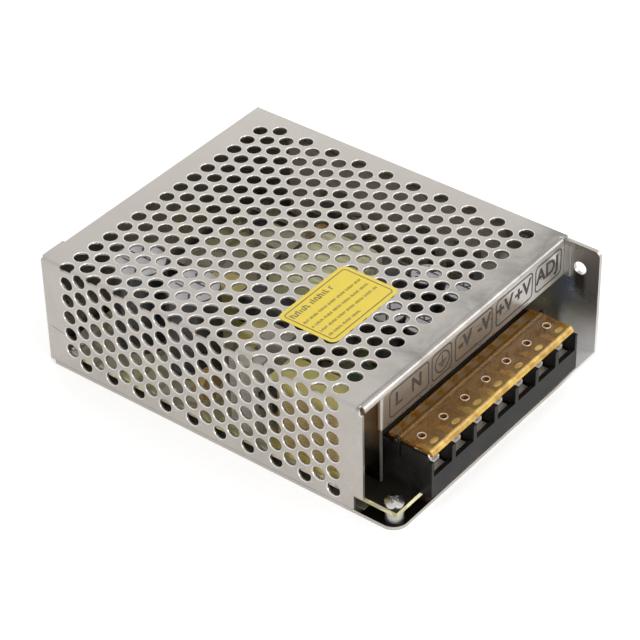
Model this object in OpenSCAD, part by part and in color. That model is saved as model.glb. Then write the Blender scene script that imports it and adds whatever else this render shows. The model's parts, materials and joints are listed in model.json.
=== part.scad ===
// Mesh case switching power supply, 98 mm wide: a folded chassis, a perforated cover,
// a seven way barrier terminal block with a hinged cover, and a populated circuit board.
// +Z is up and the terminals face -Y. The origin is the middle of the underside.
// Inside every module y = 0 is the front face of the cover and z = 0 the underside.

/* [Case] */
// Width of the case
case_w = 98; // [96:0.5:104]
// Height of the case
case_h = 37.7; // [37.2:0.1:42]
// Length of the cover, from its front face to its rear flange
cover_len = 115.4; // [113:0.2:128]
// How far the base and the right wall reach out in front of the cover
apron = 11.4; // [11:0.1:13]
// Thickness of the chassis sheet
base_t = 1.2; // [1:0.1:1.6]
// Thickness of the cover sheet
cover_t = 0.8; // [0.6:0.1:1]
// Outer radius of the bends of the chassis and of the front lip
bend_r = 1.4; // [1.2:0.1:1.8]
// Outer radius of the cover's long bend and of its rear corner
edge_r = 1; // [0.9:0.1:1.2]
// Gap between two sheets that lie side by side
sheet_gap = 0.1; // [0.05:0.05:0.2]
// Corner radius at the front of the base
corner_r = 4.5; // [3:0.5:6]
// Corner radius at the front of the right wall
wall_corner_r = 2; // [1:0.5:4]

/* [Cover] */
// Gap between the closed terminal cover and the lower edge of the front lip
lip_clear = 3.5; // [3:0.1:4.5]
// Gap between the left end of the lip and the terminal block
lip_side_gap = 3.6; // [2.5:0.1:4.5]
// How far the right flange stands out in front of the lip
flange_reach = 2; // [0:0.5:3]
// How far the top stays back from the outer face of the right wall
top_inset = 0.2; // [0:0.1:0.6]
// How far the flange at the left end of the lip reaches inwards
return_w = 7; // [5:0.5:9]
// Width of the flange that closes the rear left corner
rear_flange_w = 10; // [9:0.5:14]
// Height of the notch at the foot of the left wall's front edge
notch_h = 6.3; // [5:0.1:7]
// Length of that notch
notch_len = 3.2; // [2:0.1:5]
// Width of the relief cuts beside the bends
relief_w = 0.9; // [0.6:0.1:1.2]
// Gap between the right end of the lip and the right flange
lip_end_gap = 0.15; // [0.1:0.05:0.5]

/* [Perforation] */
// Diameter of the ventilation holes
hole_d = 4.4; // [3.6:0.1:4.6]
// Distance between two rows of holes
row_pitch = 5.02; // [4.9:0.02:5.4]
// Distance between two holes in a row of the top
top_pitch = 6.23; // [6:0.01:6.6]
// Distance between two holes in a row of the left wall
side_pitch = 6.03; // [5.8:0.01:6.3]
// First row, measured from the front face
first_row = 10.2; // [9:0.1:12]
// Least distance from the last row to the rear edge of the top
last_row_margin = 7; // [6:0.5:9]
// First hole of the even rows, measured from the right side
even_inset = 6.6; // [5.5:0.1:7]
// First hole of the odd rows, measured from the right side
odd_inset = 9.9; // [8.5:0.1:10]
// First hole of the left wall in the even rows, measured from the top
even_drop = 2.6; // [2.3:0.1:3]
// First hole of the left wall in the odd rows, measured from the top
odd_drop = 5.5; // [5:0.1:5.8]
// Least height of a hole's centre in the left wall
side_margin = 4.4; // [4:0.1:5]
// How deep a hole that crosses the long bend reaches
bend_cut = 1.5; // [1:0.1:2]

/* [Mounting] */
// Diameter of the mounting hole in the right wall
side_hole_d = 4.2; // [3.5:0.1:4.5]
// Distance of that hole behind the front edge of the wall
side_hole_y = 6.4; // [5:0.1:8]
// Height of that hole above the underside
side_hole_z = 28.9; // [20:0.1:30]
// Diameter of the four tapped holes in the base
foot_hole_d = 2.5; // [2:0.1:3.3]
// Distance between the tapped holes across the base
foot_span_x = 77; // [70:1:80]
// Distance between the tapped holes along the base
foot_span_y = 78; // [70:1:80]

/* [Board] */
// Height of the standoffs under the board
standoff_h = 3.6; // [3:0.1:5]
// Diameter of the standoffs
standoff_d = 5.3; // [5:0.1:6]
// Thickness of the board
board_t = 1.6; // [1.2:0.1:2]
// Gap between the board and the left wall of the cover
board_gap = 0.3; // [0.2:0.1:1]
// Gap between the board and the right wall
board_gap_r = 4; // [3.6:0.1:5]
// Distance from a screw to the edges of the board
board_screw_inset = 2.9; // [2.8:0.1:4]
// Shank diameter of the small screws
small_screw_d = 2.9; // [2.5:0.1:3]
// Head diameter of the board screws
board_head_d = 5.5; // [5:0.1:6]
// Head height of the board screws
board_head_h = 1.9; // [1.6:0.1:2.4]
// Head diameter of the countersunk screws in the walls
csk_head_d = 5; // [4.6:0.1:5.2]
// Thickness of the insulating sheet on the base
film_t = 0.3; // [0.2:0.1:0.5]

/* [Terminal block] */
// Number of terminals
ways = 7; // [5:1:7]
// Distance between two terminals
way_pitch = 10; // [9.5:0.1:10]
// Thickness of the dividers between the terminals
divider_t = 1.6; // [1.2:0.1:1.8]
// Thickness of the block's end walls
end_wall_t = 1; // [0.9:0.1:1.4]
// How far the block stands out in front of the base
block_proud = 3; // [2:0.1:4]
// Depth of the block, front to rear
block_depth = 20.4; // [19:0.2:23]
// Share of the free width beside the block that lies on its left
block_share = 0.42; // [0.4:0.01:0.44]
// Height of the terminal floor above the board
floor_h = 5; // [4:0.1:5.4]
// Height of the front sill above the board
sill_h = 7; // [6:0.1:7.4]
// Thickness of the front sill
sill_t = 1.4; // [1.2:0.1:1.8]
// Height of the rear body above the board
rear_body_h = 9.8; // [9:0.1:10]
// Height of the dividers above the board
divider_h = 13.8; // [13.6:0.1:15]
// Distance of the screws behind the front of the block
screw_setback = 7.2; // [7:0.1:7.4]

/* [Terminal screws] */
// Thickness of the metal plate in each terminal
plate_t = 1.2; // [1:0.1:1.4]
// Thickness of the clamp washer
clamp_t = 1; // [0.8:0.1:1.2]
// Width of the clamp washer, across the terminal
clamp_w = 7.2; // [6.6:0.1:7.4]
// Depth of the clamp washer, along the wire
clamp_l = 6.6; // [6:0.1:6.8]
// Shank diameter of the terminal screws
screw_d = 3.5; // [3:0.1:3.6]
// Head diameter of the terminal screws
screw_head_d = 6; // [5.6:0.1:6.2]
// Head height of the terminal screws
screw_head_h = 2.2; // [1.8:0.1:2.4]
// Radial clearance between screw and washer
screw_play = 0.05; // [0.02:0.01:0.1]
// Gap between the screwed down clamp parts
clamp_gap = 0.1; // [0.05:0.05:0.2]

/* [Terminal cover] */
// Thickness of the hinged cover
flap_t = 1.1; // [0.9:0.1:1.3]
// Gap between the closed cover and the dividers
flap_gap = 0.2; // [0.1:0.1:0.3]
// Distance of the hinge axis behind the front of the block
hinge_setback = 11.9; // [11.6:0.1:12.1]
// Radius of the hinge rib that runs along the cover
hinge_rib_r = 0.75; // [0.65:0.05:0.85]
// Radius of the hinge pins
hinge_pin_r = 0.5; // [0.4:0.05:0.6]
// Wall round the hinge pins
ear_wall = 0.5; // [0.4:0.1:0.7]
// Radial clearance of the hinge pins
hinge_play = 0.06; // [0.03:0.01:0.1]
// How far the cover reaches behind its hinge
heel_len = 3.4; // [3:0.1:3.5]
// Length of the slanted front edge of the cover
flap_lip = 1.1; // [0.8:0.1:1.5]
// Slant of the front edge, from the horizontal
flap_lip_angle = 58; // [50:1:65]
// Gap between the cover and the end walls of the block
flap_side_gap = 0.2; // [0.1:0.1:0.4]
// Diameter of the probe holes
probe_d = 2; // [1.6:0.1:3]

/* [Heat sink] */
// Thickness of the aluminium bar along the right wall
bar_t = 3; // [2:0.1:3.4]
// Distance of the bar behind the front face
bar_y = 20; // [18:1:24]
// Distance between the bar and the rear wall
bar_rear = 15; // [12:1:18]
// Gap between the top of the bar and the cover
bar_head_gap = 2.9; // [2.4:0.1:5]

/* [Parts on the board] */
// Diameter of the two large capacitors
bulk_d = 16; // [14:0.5:16.5]
// Height of the two large capacitors
bulk_h = 28; // [24:0.5:29]
// Width, depth and height of the line choke beside the fuse
choke_size = [12, 26, 25];
// Thickness of the choke's two flanges
choke_flange = 2; // [1.5:0.1:3]
// Height of the line filter's two windings
filter_h = 24.4; // [20:0.2:25]
// Width, length and height of a film capacitor
film_size = [8, 14, 15];
// Thickness, length and height of the bridge rectifier
bridge_size = [4, 20, 14];
// Width, length and height of the control chip
chip_size = [6.4, 20.3, 3.2];
// Width and depth of the grooves that weaken the top of a can
vent_size = [0.5, 0.3];
// Width, depth and height of the transformer winding
winding_size = [28, 21, 23.5];
// Thickness of the transformer's ferrite core
core_t = 6; // [5:0.5:7]
// Diameter of the output capacitors
out_d = 10; // [8:0.5:10.5]
// Height of the output capacitors
out_h = 24; // [18:0.5:25]

/* [Label] */
// Width of the label, across the case
label_w = 30.2; // [28:0.2:34]
// Distance of the label's right edge from the middle of the case
label_shift = 0.7; // [0:0.1:3]
// Length of the label, along the case
label_len = 20.1; // [18:0.1:22]
// Distance of the label behind the front face
label_y = 23.2; // [20:0.1:30]
// Thickness of the label
label_t = 0.12; // [0.1:0.01:0.2]

/* [Hidden] */
$fn = 32;
eps = 0.01;

// Places worked out from the sizes above
half_w = case_w / 2;
front_y = (block_proud + apron - cover_len) / 2;
least_inner_r = 0.2;
base_out_r = max(bend_r + 0.1, base_t + least_inner_r);
wall_x = half_w - base_t;
wall_top = case_h - cover_t - sheet_gap;
flange_x = wall_x - sheet_gap;
rear_wall_y = cover_len - cover_t - sheet_gap - base_t;
board_z = base_t + standoff_h;
board_top = board_z + board_t;
board_left = -half_w + cover_t + board_gap;
board_right = wall_x - board_gap_r;
board_front = -apron + 1;
board_rear = rear_wall_y - 2;
block_w = ways * way_pitch - divider_t + 2 * end_wall_t;
block_left = -half_w + block_share * (case_w - block_w);
block_right = block_left + block_w;
block_front = -apron - block_proud;
screw_y = block_front + screw_setback;
plate_z = board_top + floor_h;
clamp_z = plate_z + plate_t + clamp_gap;
head_z = clamp_z + clamp_t + clamp_gap / 2;
flap_z = board_top + divider_h + flap_gap;
hinge_y = block_front + hinge_setback;
hinge_z = flap_z + flap_t / 2;
lip_z = flap_z + flap_t + lip_clear;
lip_h = case_h - lip_z;
lip_x0 = block_left - lip_side_gap;
lip_x1 = flange_x - cover_t - lip_end_gap;
top_rear = cover_len - edge_r;
bar_x = flange_x - cover_t - sheet_gap - bar_t;
bar_len = rear_wall_y - bar_rear - bar_y;
bar_z = board_top + 1;
bar_top = case_h - cover_t - bar_head_gap;
bar_screw_z = bar_z + 8;
thread_gap = 0.1;
short_screw = 2.8;
long_screw = 3.6;
board_tongue = block_right + 3;
// The parts keep this layout: they spread with the board and shrink where room is short
layout_w = 91.7;
layout_len = 111.3;
layout_h = 30.5;
layout_mid = -2.05;
board_mid = (board_left + board_right) / 2;
spread_x = (board_right - board_left) / layout_w;
spread_y = board_rear / layout_len;
part_scale = round(1000 * min(spread_x, spread_y, (case_h - cover_t - board_top) / layout_h)) / 1000;

// Centre of terminal i, counted from 0 at the left
function way_x(i) = block_left + end_wall_t + (way_pitch - divider_t) / 2 + i * way_pitch;
// The board's screws: front left, rear left, rear right, front right
function board_spots() = [
    [board_left + board_screw_inset, board_front + board_screw_inset],
    [board_left + board_screw_inset, board_rear - board_screw_inset],
    [board_right - board_screw_inset, board_rear - board_screw_inset],
    [board_right - board_screw_inset, bar_y - 5]
];
// The small screws through the right wall into the bar, along y
function bar_spots() = [for (k = [0 : 2]) bar_y + 8 + k * (bar_len - 16) / 2];
// The cover's screws in the right wall, along y
function flange_spots() = [14, rear_wall_y - 10];

module in_case() { translate([0, front_y, 0]) children(); }

// Quarter of a pipe wall: the bend between two flat sheets, in the plane's first quadrant
module bend_2d(r, t) {
    intersection() {
        difference() {
            circle(r);
            circle(r - t);
        }
        square(r + 1);
    }
}

module csk_screw(shank_d, head_d, len) {
    cone = (head_d - shank_d) / 2;
    cylinder(d1 = head_d, d2 = shank_d, h = cone);
    cylinder(d = shank_d, h = len);
}

// Cross recess of a screw head, cut down from z = 0
module cross_cut(width, reach, depth) {
    for (a = [0, 90]) {
        rotate(a) translate([-reach / 2, -width / 2, -depth]) cube([reach, width, depth + 1]);
    }
}

module block_of(from, to) { translate(from) cube(to - from); }

// A section in the yz plane, drawn out along x by t
module across(x, t) { translate([x, 0, 0]) rotate([90, 0, 90]) linear_extrude(t) children(); }

// Chassis: base, right wall and rear wall, folded from one sheet
module chassis_section() {
    translate([-half_w, 0]) square([case_w - base_out_r, base_t]);
    translate([half_w - base_out_r, base_out_r]) mirror([0, 1]) bend_2d(base_out_r, base_t);
    translate([wall_x, base_out_r]) square([base_t, wall_top - base_out_r]);
}

// Along y: a strip of the base, the rear bend and the rear wall
module rear_section(strip) {
    translate([-base_out_r - strip, 0]) square([strip, base_t]);
    translate([-base_out_r, base_out_r]) mirror([0, 1]) bend_2d(base_out_r, base_t);
    translate([-base_t, base_out_r]) square([base_t, wall_top - sheet_gap - base_out_r]);
}

// What a rounded corner leaves of a square one
module corner_waste(r) {
    difference() {
        translate([-1, -1]) square([r + 1, r + 1]);
        translate([r, r]) circle(r);
    }
}

module along_y(y0, y1) {
    translate([0, y1, 0]) rotate([90, 0, 0]) linear_extrude(y1 - y0) children();
}

module chassis() {
    rear_y = rear_wall_y + base_t;
    rear_x0 = -half_w + bend_r;
    rear_x1 = wall_x - base_out_r;
    color("silver") in_case() difference() {
        union() {
            along_y(-apron, rear_y - base_out_r) chassis_section();
            // the right wall goes on past the rear wall, whose end butts against it
            block_of([wall_x, rear_wall_y - base_out_r - 5, base_out_r + 1], [half_w, rear_y, wall_top]);
            translate([0, rear_y, 0]) across(rear_x0, rear_x1 - rear_x0) rear_section(4);
            block_of([rear_x1 - 5, rear_wall_y, base_out_r + 1],
                     [wall_x - sheet_gap, rear_y, wall_top - sheet_gap]);
        }
        translate([-half_w, -apron, -1]) linear_extrude(base_t + 2) corner_waste(corner_r);
        translate([wall_x - 1, -apron, wall_top]) rotate([90, 0, 90])
            linear_extrude(base_t + 2) mirror([0, 1]) corner_waste(wall_corner_r);
        // mounting hole in the right wall
        translate([wall_x - 1, -apron + side_hole_y, side_hole_z])
            rotate([0, 90, 0]) cylinder(d = side_hole_d, h = base_t + 2);
        // four tapped holes in the base
        for (x = [-1, 1], y = [-1, 1]) {
            translate([x * foot_span_x / 2, -front_y + y * foot_span_y / 2, -1])
                cylinder(d = foot_hole_d, h = base_t + 2);
        }
        // countersunk holes of the screws in the right wall and in the rear wall
        for (y = flange_spots()) {
            wall_screw_at(y, case_h - lip_h / 2) csk_hole();
        }
        for (y = bar_spots()) {
            wall_screw_at(y, bar_screw_z) csk_hole();
        }
        rear_screw_at() csk_hole();
    }
}

// Places for the countersunk screws, their axis pointing inwards
module wall_screw_at(y, z) { translate([half_w, y, z]) rotate([0, -90, 0]) children(); }
module rear_screw_at() {
    translate([-half_w + rear_flange_w / 2, cover_len, case_h / 2]) rotate([90, 0, 0]) children();
}

module csk_hole() {
    translate([0, 0, -eps]) csk_screw(small_screw_d + 2 * thread_gap, csk_head_d + 4 * thread_gap, 6);
}

// Cover: top, left wall, front lip and flanges, folded from one perforated sheet
function top_holes(k) = [
    for (x = half_w - (k % 2 == 0 ? even_inset : odd_inset); x > -half_w + 0.6; x = x - top_pitch) x
];
function side_holes(k) = [
    for (z = case_h - (k % 2 == 0 ? even_drop : odd_drop); z > side_margin; z = z - side_pitch) z
];
rows = floor((cover_len - cover_t - last_row_margin - first_row) / row_pitch) + 1;

module perforation() {
    for (k = [0 : rows - 1]) {
        y = first_row + k * row_pitch;
        for (x = top_holes(k)) {
            translate([x, y, case_h - bend_cut]) cylinder(d = hole_d, h = bend_cut + 1);
        }
        for (z = side_holes(k)) {
            translate([-half_w - 1, y, z]) rotate([0, 90, 0]) cylinder(d = hole_d, h = bend_cut + 1);
        }
    }
}

// Along x: the top, the long bend and the left wall
module cover_section() {
    translate([-half_w + edge_r, case_h - cover_t]) square([case_w - edge_r - top_inset, cover_t]);
    translate([-half_w + edge_r, case_h - edge_r]) mirror([1, 0]) bend_2d(edge_r, cover_t);
    translate([-half_w, cover_foot]) square([cover_t, case_h - edge_r - cover_foot]);
}
cover_foot = base_t + sheet_gap;

// Along y: a strip of the top, the front bend and as much of the lip as asked for
module front_section(strip, drop) {
    translate([bend_r, case_h - cover_t]) square([strip, cover_t]);
    translate([bend_r, case_h - bend_r]) mirror([1, 0]) bend_2d(bend_r, cover_t);
    translate([0, case_h - bend_r - drop]) square([cover_t, drop]);
}

// Seen from above: a strip of the lip, the bend at its left end and the flange behind it
module lip_end_section(strip) {
    translate([bend_r, 0]) square([strip, cover_t]);
    translate([bend_r, bend_r]) mirror([1, 0]) mirror([0, 1]) bend_2d(bend_r, cover_t);
    translate([0, bend_r]) square([cover_t, return_w - bend_r]);
}

// Seen from above: the end of the left wall, the rear corner and its flange
module rear_corner_section(strip) {
    translate([0, -edge_r - strip]) square([cover_t, strip]);
    translate([edge_r, -edge_r]) mirror([1, 0]) bend_2d(edge_r, cover_t);
    translate([edge_r, -cover_t]) square([rear_flange_w - edge_r, cover_t]);
}

module top_cover() {
    bend_x0 = -half_w + edge_r + 0.3;
    flange_x0 = flange_x - cover_t;
    flange_y1 = rear_wall_y - sheet_gap;
    color("gainsboro") in_case() difference() {
        union() {
            difference() {
                along_y(0, top_rear) cover_section();
                // the front bend takes the place of the top's front edge
                block_of([-half_w - 1, -1, case_h - bend_r - 0.6], [bend_x0, relief_w, case_h + 1]);
                block_of([bend_x0 - 1, -1, case_h - bend_r], [lip_x1 + lip_end_gap / 2, bend_r, case_h + 1]);
                block_of([lip_x1, -1, case_h - bend_r], [half_w + 1, 0.3, case_h + 1]);
            }
            across(bend_x0, lip_x1 - bend_x0) front_section(2, 0.4);
            across(lip_x0 + bend_r, lip_x1 - lip_x0 - bend_r) front_section(2, lip_h - bend_r);
            translate([lip_x0, 0, lip_z]) linear_extrude(lip_h - bend_r) lip_end_section(2);
            block_of([lip_x0, 0, board_top + 1], [lip_x0 + cover_t, return_w, lip_z]);
            block_of([lip_x0, bend_r, lip_z - 1], [lip_x0 + cover_t, return_w, lip_z + 1]);
            // right flange, an angle under the top
            block_of([flange_x0, -flange_reach, lip_z], [flange_x, flange_y1, case_h - cover_t / 2]);
            block_of([flange_x - 3, relief_w + bend_r, case_h - 2 * cover_t],
                     [flange_x - cover_t / 2, flange_y1, case_h - cover_t / 2]);
            // flange round the rear corner
            translate([-half_w, cover_len, cover_foot])
                linear_extrude(case_h - edge_r - cover_foot) rear_corner_section(2);
            block_of([-half_w + edge_r + 0.5, cover_len - cover_t, case_h / 2],
                     [-half_w + rear_flange_w, cover_len, case_h - 2 * sheet_gap]);
        }
        perforation();
        // notch at the foot of the left wall's front edge
        block_of([-half_w - 1, -1, cover_foot - 1], [-half_w + cover_t + 1, notch_len, notch_h]);
        // tapped holes in the right flange, clearance hole in the rear flange
        for (y = flange_spots()) {
            translate([flange_x - 2, y, case_h - lip_h / 2])
                rotate([0, 90, 0]) cylinder(d = small_screw_d + 0.1, h = 3);
        }
        rear_screw_at() csk_hole();
    }
}

module cover_screws() {
    color("silver") in_case() {
        for (y = flange_spots()) {
            wall_screw_at(y, case_h - lip_h / 2) wall_screw(short_screw);
        }
        rear_screw_at() wall_screw(long_screw);
    }
}

module wall_screw(len) {
    difference() {
        csk_screw(small_screw_d, csk_head_d, len);
        rotate([180, 0, 0]) cross_cut(0.7, 3, 0.8);
    }
}

module heatsink_screws() {
    color("silver") in_case() {
        for (y = bar_spots()) {
            wall_screw_at(y, bar_screw_z) wall_screw(long_screw);
        }
    }
}

module rounded_rect(size, r) {
    for (x = [r, size[0] - r], y = [r, size[1] - r]) translate([x, y]) circle(r);
    translate([r, 0]) square([size[0] - 2 * r, size[1]]);
    translate([0, r]) square([size[0], size[1] - 2 * r]);
}

module yellow_label() {
    color("gold") in_case() translate([-label_shift - label_w, label_y, case_h])
        linear_extrude(label_t) rounded_rect([label_w, label_len], 2);
}

module insulating_sheet() {
    color("ivory") in_case() difference() {
        block_of([board_left + 0.5, 1, base_t], [half_w - base_out_r - 0.3, board_rear, base_t + film_t]);
        for (p = board_spots()) {
            translate([p[0], p[1], 0]) cylinder(d = standoff_d + 1, h = 10);
        }
        for (x = [-1, 1], y = [-1, 1]) {
            translate([x * foot_span_x / 2, -front_y + y * foot_span_y / 2, 0]) cylinder(d = 6, h = 5);
        }
    }
}

module standoffs() {
    color("darkgray") in_case() for (p = board_spots()) {
        translate([p[0], p[1], base_t]) difference() {
            cylinder(d = standoff_d, h = standoff_h);
            translate([0, 0, 0.6]) cylinder(d = small_screw_d + 0.1, h = standoff_h);
        }
    }
}

module circuit_board() {
    color("darkkhaki") in_case() difference() {
        translate([0, 0, board_z]) linear_extrude(board_t) {
            translate([board_left, board_front]) square([board_tongue - board_left, 5 - board_front]);
            translate([board_left, 2]) square([board_right - board_left, board_rear - 2]);
        }
        for (p = board_spots()) {
            translate([p[0], p[1], 0]) cylinder(d = small_screw_d + 0.4, h = 20);
        }
    }
}

module board_screws() {
    color("silver") in_case() for (p = board_spots()) {
        translate([p[0], p[1], board_top]) difference() {
            union() {
                translate([0, 0, -board_t - 1.6]) cylinder(d = small_screw_d, h = board_t + 2);
                rotate_extrude() intersection() {
                    translate([0, board_head_h - 5]) circle(5, $fn = 64);
                    square([board_head_d / 2, board_head_h]);
                }
            }
            translate([0, 0, board_head_h]) cross_cut(0.9, 3.2, 1.1);
        }
    }
}

// Terminal block: floor, sill, dividers, rear body and the two hinge ears
module divider_outline() {
    polygon([
        [block_front, board_top], [block_front, board_top + divider_h - 1.6],
        [block_front + 1.3, board_top + divider_h - 1.6], [block_front + 2.3, board_top + divider_h],
        [hinge_y - 1.6, board_top + divider_h], [hinge_y - 1.6, board_top + rear_body_h],
        [hinge_y - 0.6, board_top + rear_body_h], [hinge_y - 0.6, board_top]
    ]);
}

module terminal_block() {
    rear_y = block_front + block_depth;
    body_y = hinge_y - 0.6;
    ear_r = hinge_pin_r + ear_wall;
    rear_wall_h = divider_h - 0.8;
    color([0.1, 0.1, 0.1]) in_case() difference() {
        union() {
            block_of([block_left, block_front, board_top], [block_right, rear_y, plate_z]);
            block_of([block_left, block_front, board_top],
                     [block_right, block_front + sill_t, board_top + sill_h]);
            block_of([block_left, body_y, board_top], [block_right, rear_y, board_top + rear_body_h]);
            block_of([block_left, rear_y - 3.2, board_top],
                     [block_right, rear_y, board_top + rear_wall_h]);
            for (i = [1 : ways - 1]) {
                across(way_x(i) - way_pitch / 2 - divider_t / 2, divider_t) divider_outline();
            }
            for (x = [block_left, block_right - end_wall_t]) {
                across(x, end_wall_t) {
                    divider_outline();
                    translate([hinge_y - ear_r, board_top]) square([2 * ear_r, hinge_z - board_top]);
                    translate([hinge_y, hinge_z]) circle(ear_r);
                    translate([hinge_y, board_top])
                        square([rear_y - hinge_y, rear_wall_h]);
                }
            }
        }
        // wells for the screws and bores for the hinge pins
        for (i = [0 : ways - 1]) {
            translate([way_x(i), screw_y, board_top + 0.6])
                cylinder(d = screw_d + 1, h = floor_h);
        }
        translate([block_left - 1, hinge_y, hinge_z])
            rotate([0, 90, 0]) cylinder(r = hinge_pin_r + hinge_play, h = block_w + 2);
        // moulded slots in the rear body that keep its walls even
        for (i = [0 : ways - 1]) {
            x = way_x(i);
            block_of([x - 3, body_y + 2, board_top + 2], [x + 3, rear_y - 4.4, board_top + rear_body_h + 1]);
        }
    }
}

module terminal_plates() {
    color("gainsboro") in_case() for (i = [0 : ways - 1]) {
        translate([way_x(i), screw_y, plate_z]) difference() {
            block_of([-clamp_w / 2, -5.2, 0], [clamp_w / 2, hinge_y - 0.7 - screw_y, plate_t]);
            translate([0, 0, -1]) cylinder(r = screw_d / 2 + screw_play, h = plate_t + 2);
        }
    }
}

// Clamp washer: a plate with two turned up edges that keep the strands in
module clamp(i) {
    color("silver") in_case() translate([way_x(i - 1), screw_y, clamp_z]) difference() {
        union() {
            block_of([-clamp_w / 2, -clamp_l / 2, 0], [clamp_w / 2, clamp_l / 2, clamp_t]);
            for (s = [-1, 1]) {
                translate([s * (clamp_w / 2 - 0.2) - 0.2, -clamp_l / 2, 0]) cube([0.4, clamp_l, clamp_t + 0.6]);
            }
        }
        translate([0, 0, -1]) cylinder(r = screw_d / 2 + screw_play, h = clamp_t + 2);
    }
}

module terminal_screw(i) {
    below = head_z - board_top - 1.2;
    color("lightgray") in_case() translate([way_x(i - 1), screw_y, head_z]) difference() {
        union() {
            translate([0, 0, -below]) cylinder(d = screw_d, h = below + 1);
            cylinder(d = screw_head_d, h = screw_head_h - 0.5);
            translate([0, 0, screw_head_h - 0.5])
                cylinder(d1 = screw_head_d, d2 = screw_head_d - 1, h = 0.5);
        }
        translate([0, 0, screw_head_h]) cross_cut(0.9, 4.2, 1.2);
    }
}

module clamp_1() { clamp(1); }
module clamp_2() { clamp(2); }
module clamp_3() { clamp(3); }
module clamp_4() { clamp(4); }
module clamp_5() { clamp(5); }
module clamp_6() { clamp(6); }
module clamp_7() { clamp(7); }
module screw_1() { terminal_screw(1); }
module screw_2() { terminal_screw(2); }
module screw_3() { terminal_screw(3); }
module screw_4() { terminal_screw(4); }
module screw_5() { terminal_screw(5); }
module screw_6() { terminal_screw(6); }
module screw_7() { terminal_screw(7); }

// Terminal cover: a clear panel on two pins, with a slanted front edge and probe holes
module flap_section(y1) {
    bend_y = block_front + 2;
    translate([bend_y, flap_z]) square([y1 - bend_y, flap_t]);
    translate([bend_y, flap_z]) {
        intersection() {
            circle(flap_t);
            translate([-2 * flap_t, 0]) square([2 * flap_t, 2 * flap_t]);
        }
        rotate(180 + flap_lip_angle) translate([0, -flap_t]) square([flap_lip, flap_t]);
    }
}

module terminal_cover() {
    x0 = block_left + end_wall_t + flap_side_gap;
    x1 = block_right - end_wall_t - flap_side_gap;
    color([0.85, 0.55, 0.15, 0.6]) in_case() difference() {
        union() {
            across(x0, x1 - x0) flap_section(hinge_y + heel_len);
            translate([x0, hinge_y, hinge_z]) rotate([0, 90, 0]) cylinder(r = hinge_rib_r, h = x1 - x0);
            translate([block_left + 0.2, hinge_y, hinge_z])
                rotate([0, 90, 0]) cylinder(r = hinge_pin_r, h = block_w - 0.4);
        }
        for (i = [0 : ways - 1]) {
            translate([way_x(i), screw_y, flap_z - 1]) cylinder(d = probe_d, h = flap_t + 2);
        }
    }
}

// Aluminium bar that carries the heat of the power transistors into the right wall
module heatsink_bar() {
    step_z = lip_z - 1;
    color("gainsboro") in_case() difference() {
        union() {
            block_of([bar_x, bar_y, bar_z], [bar_x + bar_t, bar_y + bar_len, bar_top]);
            block_of([bar_x, bar_y, bar_z], [wall_x, bar_y + bar_len, step_z]);
        }
        for (y = bar_spots()) {
            translate([wall_x - 3, y, bar_screw_z]) rotate([0, 90, 0]) cylinder(d = small_screw_d + 0.1, h = 4);
        }
    }
}

// Flat moulded package with a bare tab, standing against the bar
module power_package(w, h) {
    block_of([-4.6, -w / 2, 2.4], [-0.8, w / 2, 2.4 + h * 0.62]);
    block_of([-0.8, -w / 2, 2.4], [0, w / 2, 2.4 + h]);
    for (k = [-1, 0, 1]) {
        block_of([-3, k * w / 4 - 0.4, 0], [-2.4, k * w / 4 + 0.4, 3]);
    }
}

function package_spots() = [for (f = [0.14, 0.36, 0.78]) bar_y + f * bar_len];

module power_transistors() {
    color("dimgray") in_case() for (y = package_spots()) {
        translate([bar_x, y, board_top]) power_package(10, 15.6);
    }
}

module transistor_clamps() {
    color("silver") in_case() for (y = package_spots()) {
        block_of([bar_x - 5.6, y - 6, board_top + 5], [bar_x - 4.6, y + 6, board_top + 10]);
        translate([bar_x - 6.2, y - 6, board_top + 5]) cube([0.6, 12, 1]);
    }
}

// Parts on the board, each placed by the layout's x and y of its centre
module on_board(x, y) {
    translate([board_mid + (x - layout_mid) * spread_x, y * spread_y, board_top])
        scale(part_scale) children();
}

// Grooves in the top of a can that let it open without bursting
module vent(d) {
    reach = 0.3 * d;
    for (m = [0, 1]) {
        mirror([m, 0, 0]) translate([0.1 * d, 0, -vent_size[1]]) {
            translate([0, -reach, 0]) cube([vent_size[0], 2 * reach, 1]);
            for (a = [-40, 40]) {
                rotate(a) translate([0, -vent_size[0] / 2, 0]) cube([reach, vent_size[0], 1]);
            }
        }
    }
}

// Electrolytic can: rolled rim, crimp near the foot, weakened top
module can(d, h) {
    difference() {
        rotate_extrude() difference() {
            union() {
                square([d / 2 - 0.6, h]);
                square([d / 2, h - 0.6]);
                translate([d / 2 - 0.6, h - 0.6]) circle(0.6);
            }
            translate([d / 2 + 0.5, 3]) circle(1);
        }
        translate([0, 0, h]) vent(d);
    }
}

bulk_at = [[-30.3, 74.2], [-30, 94.4]];
module bulk_capacitors() {
    color("slategray") in_case() for (p = bulk_at) {
        on_board(p[0], p[1]) can(bulk_d, bulk_h);
    }
}

out_at = [[-3, 25.8], [-1.3, 15.2], [18, 27.4], [18, 15.4]];
module output_capacitors() {
    color("slategray") in_case() for (p = out_at) {
        on_board(p[0], p[1]) can(out_d, out_h);
    }
}

winding_at = [4.2, 53.6];
module transformer_winding() {
    s = winding_size;
    color("khaki") in_case() on_board(winding_at[0], winding_at[1]) difference() {
        translate([-s[0] / 2 + 1, 0, 1.5 + s[2] / 2]) rotate([90, 0, 90]) linear_extrude(s[0] - 2)
            translate([-s[1] / 2, -s[2] / 2]) rounded_rect([s[1], s[2]], 3);
        block_of([-s[0], -5, s[2] / 2 - 3.5], [s[0], 5, s[2] / 2 + 6.5]);
    }
}

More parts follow.
